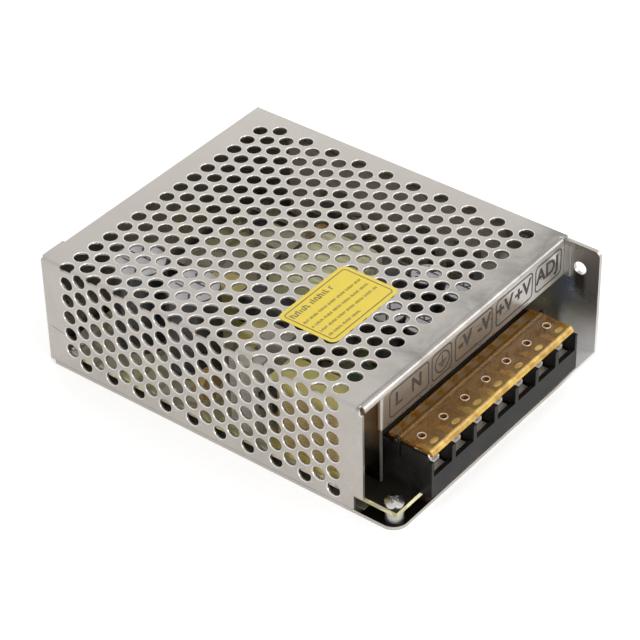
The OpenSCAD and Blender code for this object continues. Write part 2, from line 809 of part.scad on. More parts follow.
// Two ferrite E halves that meet inside the winding
module transformer_core() {
    s = winding_size;
    z0 = s[2] / 2 - 3.3;
    z1 = s[2] / 2 + 6.3;
    side = s[1] / 2 + 0.3;
    color("dimgray") in_case() on_board(winding_at[0], winding_at[1]) {
        for (m = [0, 1]) {
            mirror([m, 0, 0]) {
                block_of([s[0] / 2, -side - core_t, z0], [s[0] / 2 + core_t, side + core_t, z1]);
                block_of([0.05, -4.8, z0], [s[0] / 2, 4.8, z1]);
                block_of([0.05, side, z0], [s[0] / 2, side + core_t, z1]);
                block_of([0.05, -side - core_t, z0], [s[0] / 2, -side, z1]);
                // bobbin feet
                block_of([s[0] / 2 - 2, -8, 0], [s[0] / 2 - 0.9, 8, 1.5]);
            }
        }
    }
}

module driver_transformer() {
    color("peru") in_case() on_board(18.6, 82) {
        block_of([-6, -5, 0], [6, 5, 3]);
        translate([-5, -6.5, 3]) cube([10, 13, 10]);
        block_of([-8, -4, 4.5], [-5, 4, 11.5]);
        block_of([5, -4, 4.5], [8, 4, 11.5]);
    }
}

filter_at = [-36, 44];
filter_core_t = 6;
module line_filter_core() {
    z0 = filter_h / 2 - filter_core_t / 2;
    color("dimgray") in_case() on_board(filter_at[0], filter_at[1]) {
        difference() {
            block_of([-8, -9, z0], [8, 9, z0 + filter_core_t]);
            block_of([-4, -5, z0 - 1], [4, 5, z0 + filter_core_t + 1]);
        }
    }
}

module line_filter_winding() {
    z0 = filter_h / 2 - filter_core_t / 2 - eps;
    color("khaki") in_case() on_board(filter_at[0], filter_at[1]) {
        for (s = [-1, 1]) {
            difference() {
                block_of([s * 6.2 - 3.6, -4.6, 0], [s * 6.2 + 3.6, 4.6, filter_h]);
                block_of([s * 6 - 2.2, -9, z0], [s * 6 + 2.2, 9, z0 + filter_core_t + 2 * eps]);
            }
        }
    }
}

// Line choke: a winding between two flanges
choke_at = [-41, 21];
module line_choke() {
    s = choke_size;
    color("yellow") in_case() on_board(choke_at[0], choke_at[1]) {
        for (z = [0, s[2] - choke_flange]) {
            translate([-s[0] / 2, -s[1] / 2, z]) linear_extrude(choke_flange) rounded_rect([s[0], s[1]], 1);
        }
        translate([1 - s[0] / 2, 1 - s[1] / 2, 1])
            linear_extrude(s[2] - 2) rounded_rect([s[0] - 2, s[1] - 2], 3);
    }
}

film_at = [[-9.2, 78.6], [-21.5, 56]];
module film_capacitors() {
    color("goldenrod") in_case() for (p = film_at) {
        on_board(p[0], p[1]) translate([-film_size[0] / 2, -film_size[1] / 2, 0]) cube(film_size);
    }
}

disc_at = [[-14, 12, 0], [32, 77, 0], [-42, 60, 0], [-32.7, 16, 90]];
module disc_capacitors() {
    color("royalblue") in_case() for (p = disc_at) {
        on_board(p[0], p[1]) rotate(p[2]) {
            translate([0, 1.5, 7]) rotate([90, 0, 0]) cylinder(d = 9, h = 3);
            block_of([-2.9, -0.3, 0], [-2.2, 0.3, 4.5]);
            block_of([2.2, -0.3, 0], [2.9, 0.3, 4.5]);
        }
    }
}

inductor_at = [33.9, 65];
ring_r = 5.5;
ring_w = 2.6;
ring_z = ring_r + ring_w + 1.3;
module inductor_core() {
    color("beige") in_case() on_board(inductor_at[0], inductor_at[1])
        translate([0, 0, ring_z]) rotate([90, 0, 0])
            rotate_extrude($fn = 48) translate([ring_r, 0]) circle(ring_w);
}

module inductor_winding() {
    turns = 16;
    color("chocolate") in_case() on_board(inductor_at[0], inductor_at[1])
        translate([0, 0, ring_z]) rotate([90, 0, 0]) {
            for (k = [0 : turns - 1]) {
                rotate(k * 360 / turns) translate([ring_r, 0, 0]) rotate([90, 0, 0])
                    rotate_extrude() translate([ring_w + 0.6, 0]) circle(0.5);
            }
        }
}

fuse_at = [-27, 18.5];
module fuse() {
    color("white") in_case() on_board(fuse_at[0], fuse_at[1]) translate([0, -10, 5]) rotate([-90, 0, 0]) {
        cylinder(d = 5, h = 6);
        translate([0, 0, 14]) cylinder(d = 5, h = 6);
        translate([0, 0, 5]) cylinder(d = 4.4, h = 10);
    }
}

module fuse_clips() {
    color("silver") in_case() on_board(fuse_at[0], fuse_at[1]) for (y = [-8.8, 5.2]) {
        difference() {
            block_of([-3.4, y, 0], [3.4, y + 3.6, 7]);
            translate([0, y - 1, 5]) rotate([-90, 0, 0]) cylinder(d = 5, h = 6);
            block_of([-2, y - 1, 5], [2, y + 5, 9]);
        }
    }
}

module inrush_thermistor() {
    color("darkslategray") in_case() on_board(-17, 25) {
        translate([0, 1.8, 8]) rotate([90, 0, 0]) cylinder(d = 11, h = 3.6);
        for (s = [-1, 1]) block_of([s * 3 - 0.4, -0.4, 0], [s * 3 + 0.4, 0.4, 4.5]);
    }
}

module bridge_rectifier() {
    s = bridge_size;
    color("black") in_case() on_board(-14.6, 96) {
        translate([-s[0] / 2, -s[1] / 2, 3]) cube(s);
        for (k = [-1.5 : 1 : 1.5]) {
            block_of([-0.4, k * s[1] / 4 - 0.5, 0], [0.4, k * s[1] / 4 + 0.5, 4]);
        }
    }
}

module control_chip() {
    s = chip_size;
    lead_pitch = s[1] / 8;
    color("black") in_case() on_board(32, 96) {
        translate([-s[0] / 2, -s[1] / 2, 0.8]) cube(s);
        for (k = [-3.5 : 1 : 3.5], m = [-1, 1]) {
            block_of([m * (s[0] / 2 + 0.5) - 0.5, k * lead_pitch - 0.3, 0],
                     [m * (s[0] / 2 + 0.5) + 0.5, k * lead_pitch + 0.3, 2]);
        }
    }
}

resistor_at = [[0, 92], [5, 92], [0, 104], [-19, 102]];
module resistors() {
    color("tan") in_case() for (p = resistor_at) {
        on_board(p[0], p[1]) {
            translate([0, -4.5, 2]) rotate([-90, 0, 0]) cylinder(d = 3, h = 9);
            for (s = [-1, 1]) {
                translate([0, s * 5.5, 0]) cylinder(d = 0.8, h = 2.2, $fn = 16);
                translate([0, s * 5, 2]) rotate([90, 0, 0]) cylinder(d = 0.8, h = 1.4, center = true, $fn = 16);
            }
        }
    }
}

// Voltage trimmer: its rotor faces the front and turns three quarters of a turn
trimmer_w = 6;
trimmer_x = block_right + trimmer_w / 2 + 0.3;
trimmer_y = 3.4;
module beside_block(x, y) { translate([x, y, board_top]) children(); }
module trimmer_body() {
    color("royalblue") in_case() beside_block(trimmer_x, trimmer_y) difference() {
        block_of([-trimmer_w / 2, 0, 0], [trimmer_w / 2, 5, 7.4]);
        translate([0, -1, 4]) rotate([-90, 0, 0]) cylinder(r = 2.3, h = 3);
    }
}

module trimmer_rotor() {
    color("white") in_case() beside_block(trimmer_x, trimmer_y) translate([0, 0, 4]) rotate([90, 0, 0]) difference() {
        translate([0, 0, -1.9]) cylinder(r = 2.25, h = 2.3);
        translate([0, 0, 0.4]) cross_cut(0.7, 3.2, 0.9);
    }
}

// The lamp looks out over the trimmer
lamp_d = 3;
module power_lamp() {
    z = 7.4 + lamp_d / 2 + 0.3;
    color("limegreen") in_case() beside_block(trimmer_x, trimmer_y + 5.6) {
        translate([0, 4, z]) rotate([90, 0, 0]) cylinder(d = lamp_d, h = 4.4);
        translate([0, -0.4, z]) sphere(d = lamp_d);
        for (s = [-1, 1]) block_of([s * lamp_d / 3 - 0.25, 3, 0], [s * lamp_d / 3 + 0.25, 3.5, z]);
    }
}

chassis();
top_cover();
cover_screws();
yellow_label();
insulating_sheet();
standoffs();
circuit_board();
board_screws();
terminal_block();
terminal_plates();
clamp_1();
clamp_2();
clamp_3();
clamp_4();
clamp_5();
clamp_6();
clamp_7();
screw_1();
screw_2();
screw_3();
screw_4();
screw_5();
screw_6();
screw_7();
terminal_cover();
heatsink_bar();
heatsink_screws();
power_transistors();
transistor_clamps();
transformer_core();
transformer_winding();
driver_transformer();
line_filter_core();
line_filter_winding();
line_choke();
film_capacitors();
disc_capacitors();
bulk_capacitors();
output_capacitors();
inductor_core();
inductor_winding();
fuse();
fuse_clips();
inrush_thermistor();
bridge_rectifier();
control_chip();
resistors();
trimmer_body();
trimmer_rotor();
power_lamp();
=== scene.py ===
"""Looks for a mesh case switching power supply: sheet metal, terminals, amber cover and the board inside."""
import json
import math

import bmesh
import bpy
from bpy.props import FloatProperty, FloatVectorProperty, IntProperty, PointerProperty
from mathutils import Matrix, Vector


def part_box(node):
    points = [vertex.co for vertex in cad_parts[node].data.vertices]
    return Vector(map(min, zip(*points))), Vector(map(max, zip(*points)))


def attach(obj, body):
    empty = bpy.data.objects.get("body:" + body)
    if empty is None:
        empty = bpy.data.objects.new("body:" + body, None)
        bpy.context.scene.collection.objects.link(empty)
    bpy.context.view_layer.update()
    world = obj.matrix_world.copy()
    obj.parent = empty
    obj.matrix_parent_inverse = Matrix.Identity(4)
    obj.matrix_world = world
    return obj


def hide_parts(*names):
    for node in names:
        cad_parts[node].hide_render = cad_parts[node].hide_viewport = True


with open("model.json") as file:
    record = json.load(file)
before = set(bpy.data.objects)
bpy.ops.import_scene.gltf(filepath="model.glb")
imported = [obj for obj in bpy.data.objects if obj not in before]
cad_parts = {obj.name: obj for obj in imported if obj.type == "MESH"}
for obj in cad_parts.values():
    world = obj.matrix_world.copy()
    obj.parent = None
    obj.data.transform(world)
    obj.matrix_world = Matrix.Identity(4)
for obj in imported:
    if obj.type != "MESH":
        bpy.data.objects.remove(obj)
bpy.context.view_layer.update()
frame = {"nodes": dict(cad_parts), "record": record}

bl_info = {
    "name": "Mesh Case Power Supply",
    "version": (1, 0, 0),
    "blender": (4, 5, 0),
    "location": "View3D > Sidebar > Power Supply",
    "description": "Finishes a perforated case power supply around its packed frame",
    "category": "Object",
}

MM = 0.001
WAYS = 7
RECORD = frame["record"]
CAD = frame["nodes"]
BODY_OF = {n: b for b, members in RECORD["behaviour"]["bodies"].items() for n in members}


# ---------------------------------------------------------------- shader helpers

def feed(tree, socket, value):
    """Links another node's socket to this one, or sets this one's own value."""
    if hasattr(value, "is_linked"):
        tree.links.new(value, socket)
    else:
        socket.default_value = value


def add_node(tree, kind, inputs=None, **settings):
    """A shader node with its settings; inputs is a dict by the name or number of the socket."""
    made = tree.nodes.new(kind)
    for key, value in settings.items():
        setattr(made, key, value)
    for key, value in (inputs or {}).items():
        feed(tree, made.inputs[key], value)
    return made


def math_node(tree, operation, *values, clamp=False):
    """Math on one value, or on more of them two at a time; clamp keeps the last result from 0 to 1."""
    if len(values) > 2:
        values = (math_node(tree, operation, *values[:-1]), values[-1])
    return add_node(tree, "ShaderNodeMath", dict(enumerate(values)), operation=operation, use_clamp=clamp).outputs[0]


def product(tree, *values, clamp=False):
    return math_node(tree, "MULTIPLY", *values, clamp=clamp)


def mix_colour(tree, share, a, b):
    made = add_node(tree, "ShaderNodeMix", data_type="RGBA")
    for name, value in (("Factor", share), ("A", a), ("B", b)):
        sockets = [s for s in made.inputs if s.name == name and (name == "Factor" or s.type == "RGBA")]
        feed(tree, sockets[0], value)
    return [s for s in made.outputs if s.type == "RGBA"][0]


def ramp_between(tree, value, low, high, to_low=0.0, to_high=1.0):
    return add_node(tree, "ShaderNodeMapRange", {
        "Value": value, "From Min": low, "From Max": high, "To Min": to_low, "To Max": to_high}).outputs[0]


def mask(tree, *limits):
    """1 where two or more limits are met: each is a value, where it counts as 0 and where it counts as 1."""
    return product(tree, *(ramp_between(tree, *limit) for limit in limits), clamp=True)


def noise(tree, place, scale, detail, roughness=0.5, distortion=0.0):
    return add_node(tree, "ShaderNodeTexNoise", {
        "Vector": place, "Scale": scale, "Detail": detail, "Roughness": roughness,
        "Distortion": distortion}).outputs[0]


def split(tree, place):
    """The x, y and z of a place."""
    return list(add_node(tree, "ShaderNodeSeparateXYZ", {0: place}).outputs)


def new_group(name, inputs, outputs):
    """An empty node group with named sockets, and its input and output nodes."""
    tree = bpy.data.node_groups.new(name, "ShaderNodeTree")
    for label, kind, value in inputs:
        socket = tree.interface.new_socket(name=label, in_out="INPUT", socket_type="NodeSocket" + kind)
        if value is not None:
            socket.default_value = value
    for label, kind in outputs:
        tree.interface.new_socket(name=label, in_out="OUTPUT", socket_type="NodeSocket" + kind)
    return tree, tree.nodes.new("NodeGroupInput").outputs, tree.nodes.new("NodeGroupOutput").inputs


def rolled_sheet_group():
    """Rolled sheet metal: streaks along the rolling direction, soft stains and a fine grain."""
    tree, given, result = new_group("Rolled sheet", [
        ("Place", "Vector", None), ("Colour", "Color", (0.5, 0.5, 0.5, 1)), ("Stain", "Color", (0.3, 0.3, 0.3, 1)),
        ("Stain amount", "Float", 0.4), ("Roughness", "Float", 0.4), ("Streak stretch", "Vector", None),
    ], [("Colour", "Color"), ("Roughness", "Float"), ("Height", "Float")])
    place = given["Place"]
    stains = noise(tree, place, 85.0, 5.0, 0.62, 0.4)
    grain = noise(tree, place, 2600.0, 2.0)
    long_place = add_node(tree, "ShaderNodeVectorMath", {0: place, 1: given["Streak stretch"]}, operation="MULTIPLY")
    streaks = noise(tree, long_place.outputs[0], 1.0, 4.0, 0.6)
    share = product(tree, ramp_between(tree, stains, 0.38, 0.72), given["Stain amount"], clamp=True)
    stained = mix_colour(tree, share, given["Colour"], given["Stain"])
    tone = math_node(tree, "ADD", streaks, product(tree, grain, 0.5))
    tone = ramp_between(tree, tone, 0.35, 1.15, 0.0, 0.2)
    tree.links.new(mix_colour(tree, tone, stained, given["Stain"]), result["Colour"])
    rough = math_node(tree, "ADD", given["Roughness"], ramp_between(tree, streaks, 0.3, 0.7, -0.05, 0.05),
                      ramp_between(tree, stains, 0.35, 0.7, -0.03, 0.07))
    tree.links.new(rough, result["Roughness"])
    height = math_node(tree, "ADD", product(tree, streaks, 0.7), product(tree, grain, 0.3))
    tree.links.new(height, result["Height"])
    return tree


def moulded_skin_group():
    """Moulded plastic or lacquer: slight cloudiness, spark grain and dust that lies in patches."""
    tree, given, result = new_group("Moulded skin", [
        ("Place", "Vector", None), ("Colour", "Color", (0.5, 0.5, 0.5, 1)), ("Dust", "Color", (0.5, 0.48, 0.45, 1)),
        ("Dust amount", "Float", 0.1), ("Roughness", "Float", 0.4), ("Grain size", "Float", 2200.0),
    ], [("Colour", "Color"), ("Roughness", "Float"), ("Height", "Float")])
    place, amount = given["Place"], given["Dust amount"]
    clouds = noise(tree, place, 160.0, 4.0, 0.6)
    grain = noise(tree, place, given["Grain size"], 2.0, 0.55)
    share = product(tree, ramp_between(tree, clouds, 0.42, 0.75), amount, clamp=True)
    speck = product(tree, ramp_between(tree, grain, 0.55, 0.8), amount, clamp=True)
    share = math_node(tree, "ADD", share, product(tree, speck, 0.5), clamp=True)
    tree.links.new(mix_colour(tree, share, given["Colour"], given["Dust"]), result["Colour"])
    rough = math_node(tree, "ADD", given["Roughness"], ramp_between(tree, clouds, 0.35, 0.7, -0.04, 0.08))
    tree.links.new(rough, result["Roughness"])
    tree.links.new(grain, result["Height"])
    return tree


def wound_turns_group():
    """Turns of tape or wire laid side by side along one direction."""
    tree, given, result = new_group("Wound turns", [
        ("Place", "Vector", None), ("Along", "Vector", None), ("Pitch", "Float", 0.001),
        ("Colour", "Color", (0.5, 0.5, 0.5, 1)), ("Gap colour", "Color", (0.2, 0.2, 0.2, 1)),
        ("Gap amount", "Float", 0.5),
    ], [("Colour", "Color"), ("Height", "Float")])
    along = add_node(tree, "ShaderNodeVectorMath", {0: given["Place"], 1: given["Along"]}, operation="DOT_PRODUCT")
    wobble = noise(tree, given["Place"], 240.0, 2.0)
    turns = math_node(tree, "DIVIDE", along.outputs["Value"], given["Pitch"])
    turns = math_node(tree, "ADD", turns, product(tree, wobble, 0.5))
    within = math_node(tree, "PINGPONG", turns, 0.5)
    round_height = math_node(tree, "SINE", product(tree, within, math.pi))
    gap = product(tree, ramp_between(tree, round_height, 0.45, 0.0), given["Gap amount"], clamp=True)
    tree.links.new(mix_colour(tree, gap, given["Colour"], given["Gap colour"]), result["Colour"])
    tree.links.new(round_height, result["Height"])
    return tree


GROUP_MAKERS = {"sheet": rolled_sheet_group, "skin": moulded_skin_group, "turns": wound_turns_group}
GROUPS = {}


def use_group(tree, group, **inputs):
    """A node of the shared group of that name, which is made once."""
    if group not in GROUPS:
        GROUPS[group] = GROUP_MAKERS[group]()
    made = add_node(tree, "ShaderNodeGroup", node_tree=GROUPS[group])
    for key, value in inputs.items():
        feed(tree, made.inputs[key.replace("_", " ")], value)
    return made.outputs


def empty_tree(owner):
    """The cleared node tree of a material or a world."""
    owner.use_nodes = True
    owner.node_tree.nodes.clear()
    return owner.node_tree


def shader(name, **constants):
    """A material with its Principled BSDF and an Object coordinates socket."""
    material = bpy.data.materials.new(name)
    tree = empty_tree(material)
    surface = add_node(tree, "ShaderNodeBsdfPrincipled")
    output = add_node(tree, "ShaderNodeOutputMaterial")
    tree.links.new(surface.outputs[0], output.inputs["Surface"])
    for key, value in constants.items():
        surface.inputs[key.replace("_", " ")].default_value = value
    place = add_node(tree, "ShaderNodeTexCoord").outputs["Object"]
    return material, tree, surface, place


def bump(tree, surface, height, distance, strength):
    made = add_node(tree, "ShaderNodeBump", {"Height": height, "Distance": distance, "Strength": strength})
    tree.links.new(made.outputs[0], surface.inputs["Normal"])


def link_looks(tree, surface, group, colour=None):
    """Links the roughness of a group to the surface, and its colour or the one given in its place."""
    tree.links.new(group["Colour"] if colour is None else colour, surface.inputs["Base Color"])
    tree.links.new(group["Roughness"], surface.inputs["Roughness"])


def seen_share(tree):
    """1 for light seen by the camera, in a gloss or through clear plastic, and 0 for other light."""
    rays = add_node(tree, "ShaderNodeLightPath").outputs
    return math_node(tree, "ADD", rays["Is Camera Ray"], rays["Is Glossy Ray"], rays["Is Transmission Ray"],
                     clamp=True)


MATERIALS = {}


def kept(maker):
    """Each material is made once, the first time that a piece asks for it."""
    def ask(*args, **named):
        key = (maker.__name__, args, *sorted(named.items()))
        if key not in MATERIALS:
            MATERIALS[key] = maker(*args, **named)
        return MATERIALS[key]
    return ask


# ---------------------------------------------------------------- materials

SHEET_GRAIN = 0.02 * MM
PLATED_GRAIN = 0.01 * MM
SKIN_GRAIN = 0.03 * MM


def settings():
    return bpy.context.scene.power_supply


def front_face():
    """Y of the front face of the cover, behind which the lip's signs and marks are measured."""
    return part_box("chassis")[0].y + settings().case.apron


def sheet_look(tree, place, colour, stain, stain_amount, roughness, stretch):
    return use_group(tree, "sheet", Place=place, Colour=(*colour, 1), Stain=(*stain, 1), Stain_amount=stain_amount,
                     Roughness=roughness, Streak_stretch=stretch)


def case_sheet(tree, place, stretch):
    """The rolled sheet in the colours of the case."""
    look = settings().case
    return sheet_look(tree, place, look.metal, look.stain, look.stain_amount, look.roughness, stretch)


@kept
def chassis_metal():
    """The chassis sheet: duller by the foot of the right wall and painted paler there as painted light for the
    reflected light on it, with a painted shadow on the base by the open front corner and a brown stain under its hole.
    """
    look = settings().case
    material, tree, surface, place = shader("Chassis sheet", Metallic=0.9)
    sheet = case_sheet(tree, place, (40.0, 900.0, 900.0))
    x, y, z = split(tree, place)
    right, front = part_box("chassis")[1].x, front_face()
    # painted light: the foot of the right wall and the base beside it, in front of the cover, are painted paler for the
    # reflected light that brightens them
    blur = noise(tree, place, 120.0, 4.0, 0.6)
    height = math_node(tree, "ADD", z, ramp_between(tree, blur, 0.2, 0.8, -3 * MM, 3 * MM))
    foot_painted_light = mask(tree, (height, 16 * MM, 4 * MM), (x, right - 20 * MM, right - 12 * MM), (y, front + 2 * MM, front))
    tone = mix_colour(tree, foot_painted_light, sheet["Colour"], (*look.foot_painted_light, 1))
    # the base is in shadow by the open front corner
    shade = mask(tree, (x, right - 76 * MM, right - 84 * MM), (y, front + 3 * MM, front + 1 * MM),
                 (z, 1.1 * MM, 1.19 * MM))
    tone = mix_colour(tree, shade, tone, (0.02, 0.018, 0.015, 1))
    # the stain runs down from the mounting hole on the inner face
    hole = Vector(next(m["pos_m"] for m in RECORD["mounts"] if m["name"] == "side_hole"))
    across = math_node(tree, "ABSOLUTE", math_node(tree, "SUBTRACT", y, hole.y))
    down = math_node(tree, "SUBTRACT", hole.z - 1.0 * MM, z)
    smear = mask(tree, (across, 2.4 * MM, 1.2 * MM), (down, 0.0, 1.5 * MM), (down, 9.5 * MM, 6.0 * MM),
                 (x, right - 0.9 * MM, right - 1.1 * MM))
    tone = mix_colour(tree, product(tree, smear, 0.85), tone, (*look.rust, 1))
    tree.links.new(tone, surface.inputs["Base Color"])
    tree.links.new(ramp_between(tree, foot_painted_light, 0.0, 1.0, 0.9, 0.15), surface.inputs["Metallic"])
    rough = math_node(tree, "ADD", sheet["Roughness"], product(tree, foot_painted_light, 0.25))
    tree.links.new(rough, surface.inputs["Roughness"])
    bump(tree, surface, sheet["Height"], SHEET_GRAIN, 0.5)
    return material


@kept
def cover_metal():
    """The cover's sheet: as the chassis, with handling marks and a painted shade line by the front bend, a painted
    reflection on the flange behind the lip, painted light and shade along the lip, and a scratch on the left wall.
    """
    look = settings().case
    low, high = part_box("top_cover")
    left, rear, top, front = low.x, high.y, high.z, front_face()
    material, tree, surface, place = shader("Cover sheet", Metallic=0.9)
    sheet = case_sheet(tree, place, (60.0, 700.0, 700.0))
    x, y, z = split(tree, place)
    smear = noise(tree, place, 60.0, 6.0, 0.66, 0.8)
    share = mask(tree, (y, front + 16 * MM, front + 3 * MM), (x, left + 8 * MM, left + 24 * MM), (smear, 0.3, 0.62))
    # painted shade: a dark line along the front bend on the top, in the colour of the handling marks
    fold_painted_shade = math_node(tree, "ABSOLUTE", math_node(tree, "SUBTRACT", y, front + 1.7 * MM))
    fold_painted_shade = product(tree, ramp_between(tree, fold_painted_shade, 0.7 * MM, 0.2 * MM), ramp_between(tree, smear, 0.2, 0.5, 0.3, 0.8))
    on_top = ramp_between(tree, z, top - 1.2 * MM, top - 0.6 * MM)
    share = product(tree, math_node(tree, "MAXIMUM", share, fold_painted_shade), on_top, look.smear_and_fold_shade_amount, clamp=True)
    tone = mix_colour(tree, share, sheet["Colour"], (*look.smear, 1))
    # painted reflection: the flange behind the lip's left end is painted brown, going black lower down, for the dark
    # inside of the case that it mirrors
    beside = mask(tree, (x, left + 5 * MM, left + 6 * MM), (x, left + 10.6 * MM, left + 10 * MM),
                  (y, front + 0.25 * MM, front + 0.5 * MM), (y, front + 9 * MM, front + 8 * MM),
                  (z, top - 0.9 * MM, top - 1.6 * MM))
    flange_painted_reflection = mix_colour(tree, ramp_between(tree, z, 26 * MM, 17 * MM), (*look.flange_painted_reflection, 1), (0.006, 0.005, 0.004, 1))
    tone = mix_colour(tree, beside, tone, flange_painted_reflection)
    # painted light and shade: the lip is painted darker at its left end and lighter at its right, for how the light
    # falls along it
    lip = mask(tree, (y, front + 0.3 * MM, front + 0.1 * MM), (z, top - 1.6 * MM, top - 2.4 * MM),
               (x, left + 9 * MM, left + 9.5 * MM))
    along = ramp_between(tree, x, left + 50 * MM, left + 92 * MM)
    tone = mix_colour(tree, lip, tone, mix_colour(tree, along, (*look.lip_painted_shade, 1), (*look.lip_painted_light, 1)))
    # a thin scratch near the rear of the left wall
    slope = product(tree, math_node(tree, "SUBTRACT", y, rear - 4 * MM), -0.16)
    line = math_node(tree, "ADD", math_node(tree, "SUBTRACT", z, low.z + 12.4 * MM), slope)
    scratch = mask(tree, (math_node(tree, "ABSOLUTE", line), 0.16 * MM, 0.05 * MM),
                   (y, rear - 8 * MM, rear - 6.5 * MM), (y, rear - 1.4 * MM, rear - 3 * MM),
                   (x, left + 0.3 * MM, left + 0.1 * MM))
    tone = mix_colour(tree, scratch, tone, (0.12, 0.10, 0.09, 1))
    link_looks(tree, surface, sheet, tone)
    bump(tree, surface, sheet["Height"], SHEET_GRAIN, 0.5)
    return material


@kept
def plain_metal(name, colour, stain, stain_amount, roughness, metallic, stretch, grain=0.0, strength=0.4):
    """Metal of one tone all over; grain is how deep its texture is, or 0 where it has none."""
    material, tree, surface, place = shader(name, Metallic=metallic)
    sheet = sheet_look(tree, place, colour, stain, stain_amount, roughness, stretch)
    link_looks(tree, surface, sheet)
    if grain:
        bump(tree, surface, sheet["Height"], grain, strength)
    return material


def bar_metal():
    """Pale extruded aluminium with fine lines along the bar."""
    return plain_metal("Extruded bar", (0.62, 0.55, 0.47), (0.44, 0.37, 0.30), stain_amount=0.5, roughness=0.45,
                       metallic=0.25, stretch=(900.0, 30.0, 900.0), grain=SHEET_GRAIN, strength=0.5)


def rim_painted_highlight():
    """The rounded rims of the holes, painted paler than the sheet as a painted highlight."""
    look = settings().case
    return plain_metal("Punched rim", tuple(look.rim_highlight), tuple(look.metal), stain_amount=0.3, roughness=0.3,
                       metallic=0.6, stretch=(400.0, 400.0, 400.0))


def bright_metal(name, colour=(0.62, 0.61, 0.58), roughness=0.24, metallic=1.0):
    """Nickel or zinc plated steel, with soft wipe marks."""
    return plain_metal(name, colour, tuple(0.55 * c for c in colour), stain_amount=0.3, roughness=roughness,
                       metallic=metallic, stretch=(500.0, 500.0, 90.0), grain=PLATED_GRAIN)


def can_top():
    """Bare aluminium of the can tops: pale, a little violet, dull enough to look light from every side."""
    return plain_metal("Can top", (0.88, 0.86, 0.89), (0.48, 0.46, 0.50), stain_amount=0.2, roughness=0.4,
                       metallic=0.3, stretch=(500.0, 500.0, 90.0), grain=PLATED_GRAIN)


@kept
def plastic(name, colour, roughness, dust, coat=0.0):
    """Moulded plastic, lacquer or epoxy."""
    material, tree, surface, place = shader(name, Coat_Weight=coat, Coat_Roughness=0.15)
    skin = use_group(tree, "skin", Place=place, Colour=(*colour, 1), Dust_amount=dust, Roughness=roughness,
                     Grain_size=2200.0)
    link_looks(tree, surface, skin)
    bump(tree, surface, skin["Height"], SKIN_GRAIN, 0.45)
    return material


@kept
def wound(name, colour, gap, along, pitch, roughness=0.35, gap_amount=0.5):
    """Tape or enamelled wire in turns."""
    material, tree, surface, place = shader(name, Coat_Weight=0.3, Coat_Roughness=0.12)
    turns = use_group(tree, "turns", Place=place, Along=along, Pitch=pitch, Colour=(*colour, 1),
                      Gap_colour=(*gap, 1), Gap_amount=gap_amount)
    skin = use_group(tree, "skin", Place=place, Colour=turns["Colour"], Dust_amount=0.08, Roughness=roughness,
                     Grain_size=1500.0)
    link_looks(tree, surface, skin)
    bump(tree, surface, turns["Height"], pitch * 0.3, 0.8)
    return material


@kept
def amber_plastic():
    """Clear amber plastic, a little cloudy."""
    look = settings().cover
    material, tree, surface, place = shader("Amber plastic", IOR=1.33, Transmission_Weight=look.clearness)
    clouds = noise(tree, place, 70.0, 4.0, 0.6)
    body = mix_colour(tree, ramp_between(tree, clouds, 0.35, 0.7), (*look.amber, 1), (*look.haze, 1))
    # light that gathers towards the front edge, in uneven patches
    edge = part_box("terminal_cover")[0].y
    glow = mask(tree, (split(tree, place)[1], edge + 5.5 * MM, edge + 1.5 * MM),
                (noise(tree, place, 210.0, 3.0), 0.42, 0.62))
    body = mix_colour(tree, glow, body, (*look.edge_light, 1))
    tree.links.new(body, surface.inputs["Base Color"])
    tree.links.new(ramp_between(tree, clouds, 0.3, 0.75, 0.03, 0.14), surface.inputs["Roughness"])
    bump(tree, surface, noise(tree, place, 260.0, 2.0), 0.12 * MM, 0.5)
    return material


@kept
def amber_edge():
    """The slanted front edge of the amber cover, where light gathers and looks golden."""
    look = settings().cover
    material, tree, surface, place = shader("Amber edge", IOR=1.5, Transmission_Weight=0.35, Roughness=0.12,
                                            Coat_Weight=0.4, Coat_Roughness=0.05)
    clouds = noise(tree, place, 330.0, 3.0)
    tone = mix_colour(tree, ramp_between(tree, clouds, 0.4, 0.65), (*look.edge, 1), (*look.edge_light, 1))
    tree.links.new(tone, surface.inputs["Base Color"])
    bump(tree, surface, clouds, 0.2 * MM, 0.5)
    return material


@kept
def board_laminate():
    """Laminate with printed outlines and dark tracks that show through the lacquer."""
    look = settings().board
    material, tree, surface, place = shader("Board laminate", Specular_IOR_Level=0.2)
    skin = use_group(tree, "skin", Place=place, Colour=(*look.laminate, 1), Dust_amount=0.2, Roughness=0.5,
                     Grain_size=1800.0)
    cells = add_node(tree, "ShaderNodeTexVoronoi", {"Vector": place, "Scale": 120.0, "Randomness": 0.75},
                     feature="DISTANCE_TO_EDGE", distance="CHEBYCHEV").outputs["Distance"]
    tracks = ramp_between(tree, cells, 0.08, 0.11, 0.45, 0.0)
    lacquered = ramp_between(tree, noise(tree, place, 55.0, 2.0), 0.45, 0.6)
    tone = mix_colour(tree, lacquered, skin["Colour"], (*look.resist, 1))
    tone = mix_colour(tree, tracks, tone, (0.16, 0.13, 0.08, 1))
    # the part in front of the cover is painted dark on top; the sawn edges stay pale
    y, z = split(tree, place)[1:]
    top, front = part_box("circuit_board")[1].z, front_face()
    dark = mask(tree, (y, front + 9 * MM, front + 7.5 * MM), (z, top - 0.05 * MM, top - 0.02 * MM))
    tone = mix_colour(tree, dark, tone, (0.012, 0.010, 0.007, 1))
    link_looks(tree, surface, skin, tone)
    bump(tree, surface, tracks, 0.04 * MM, 0.6)
    return material


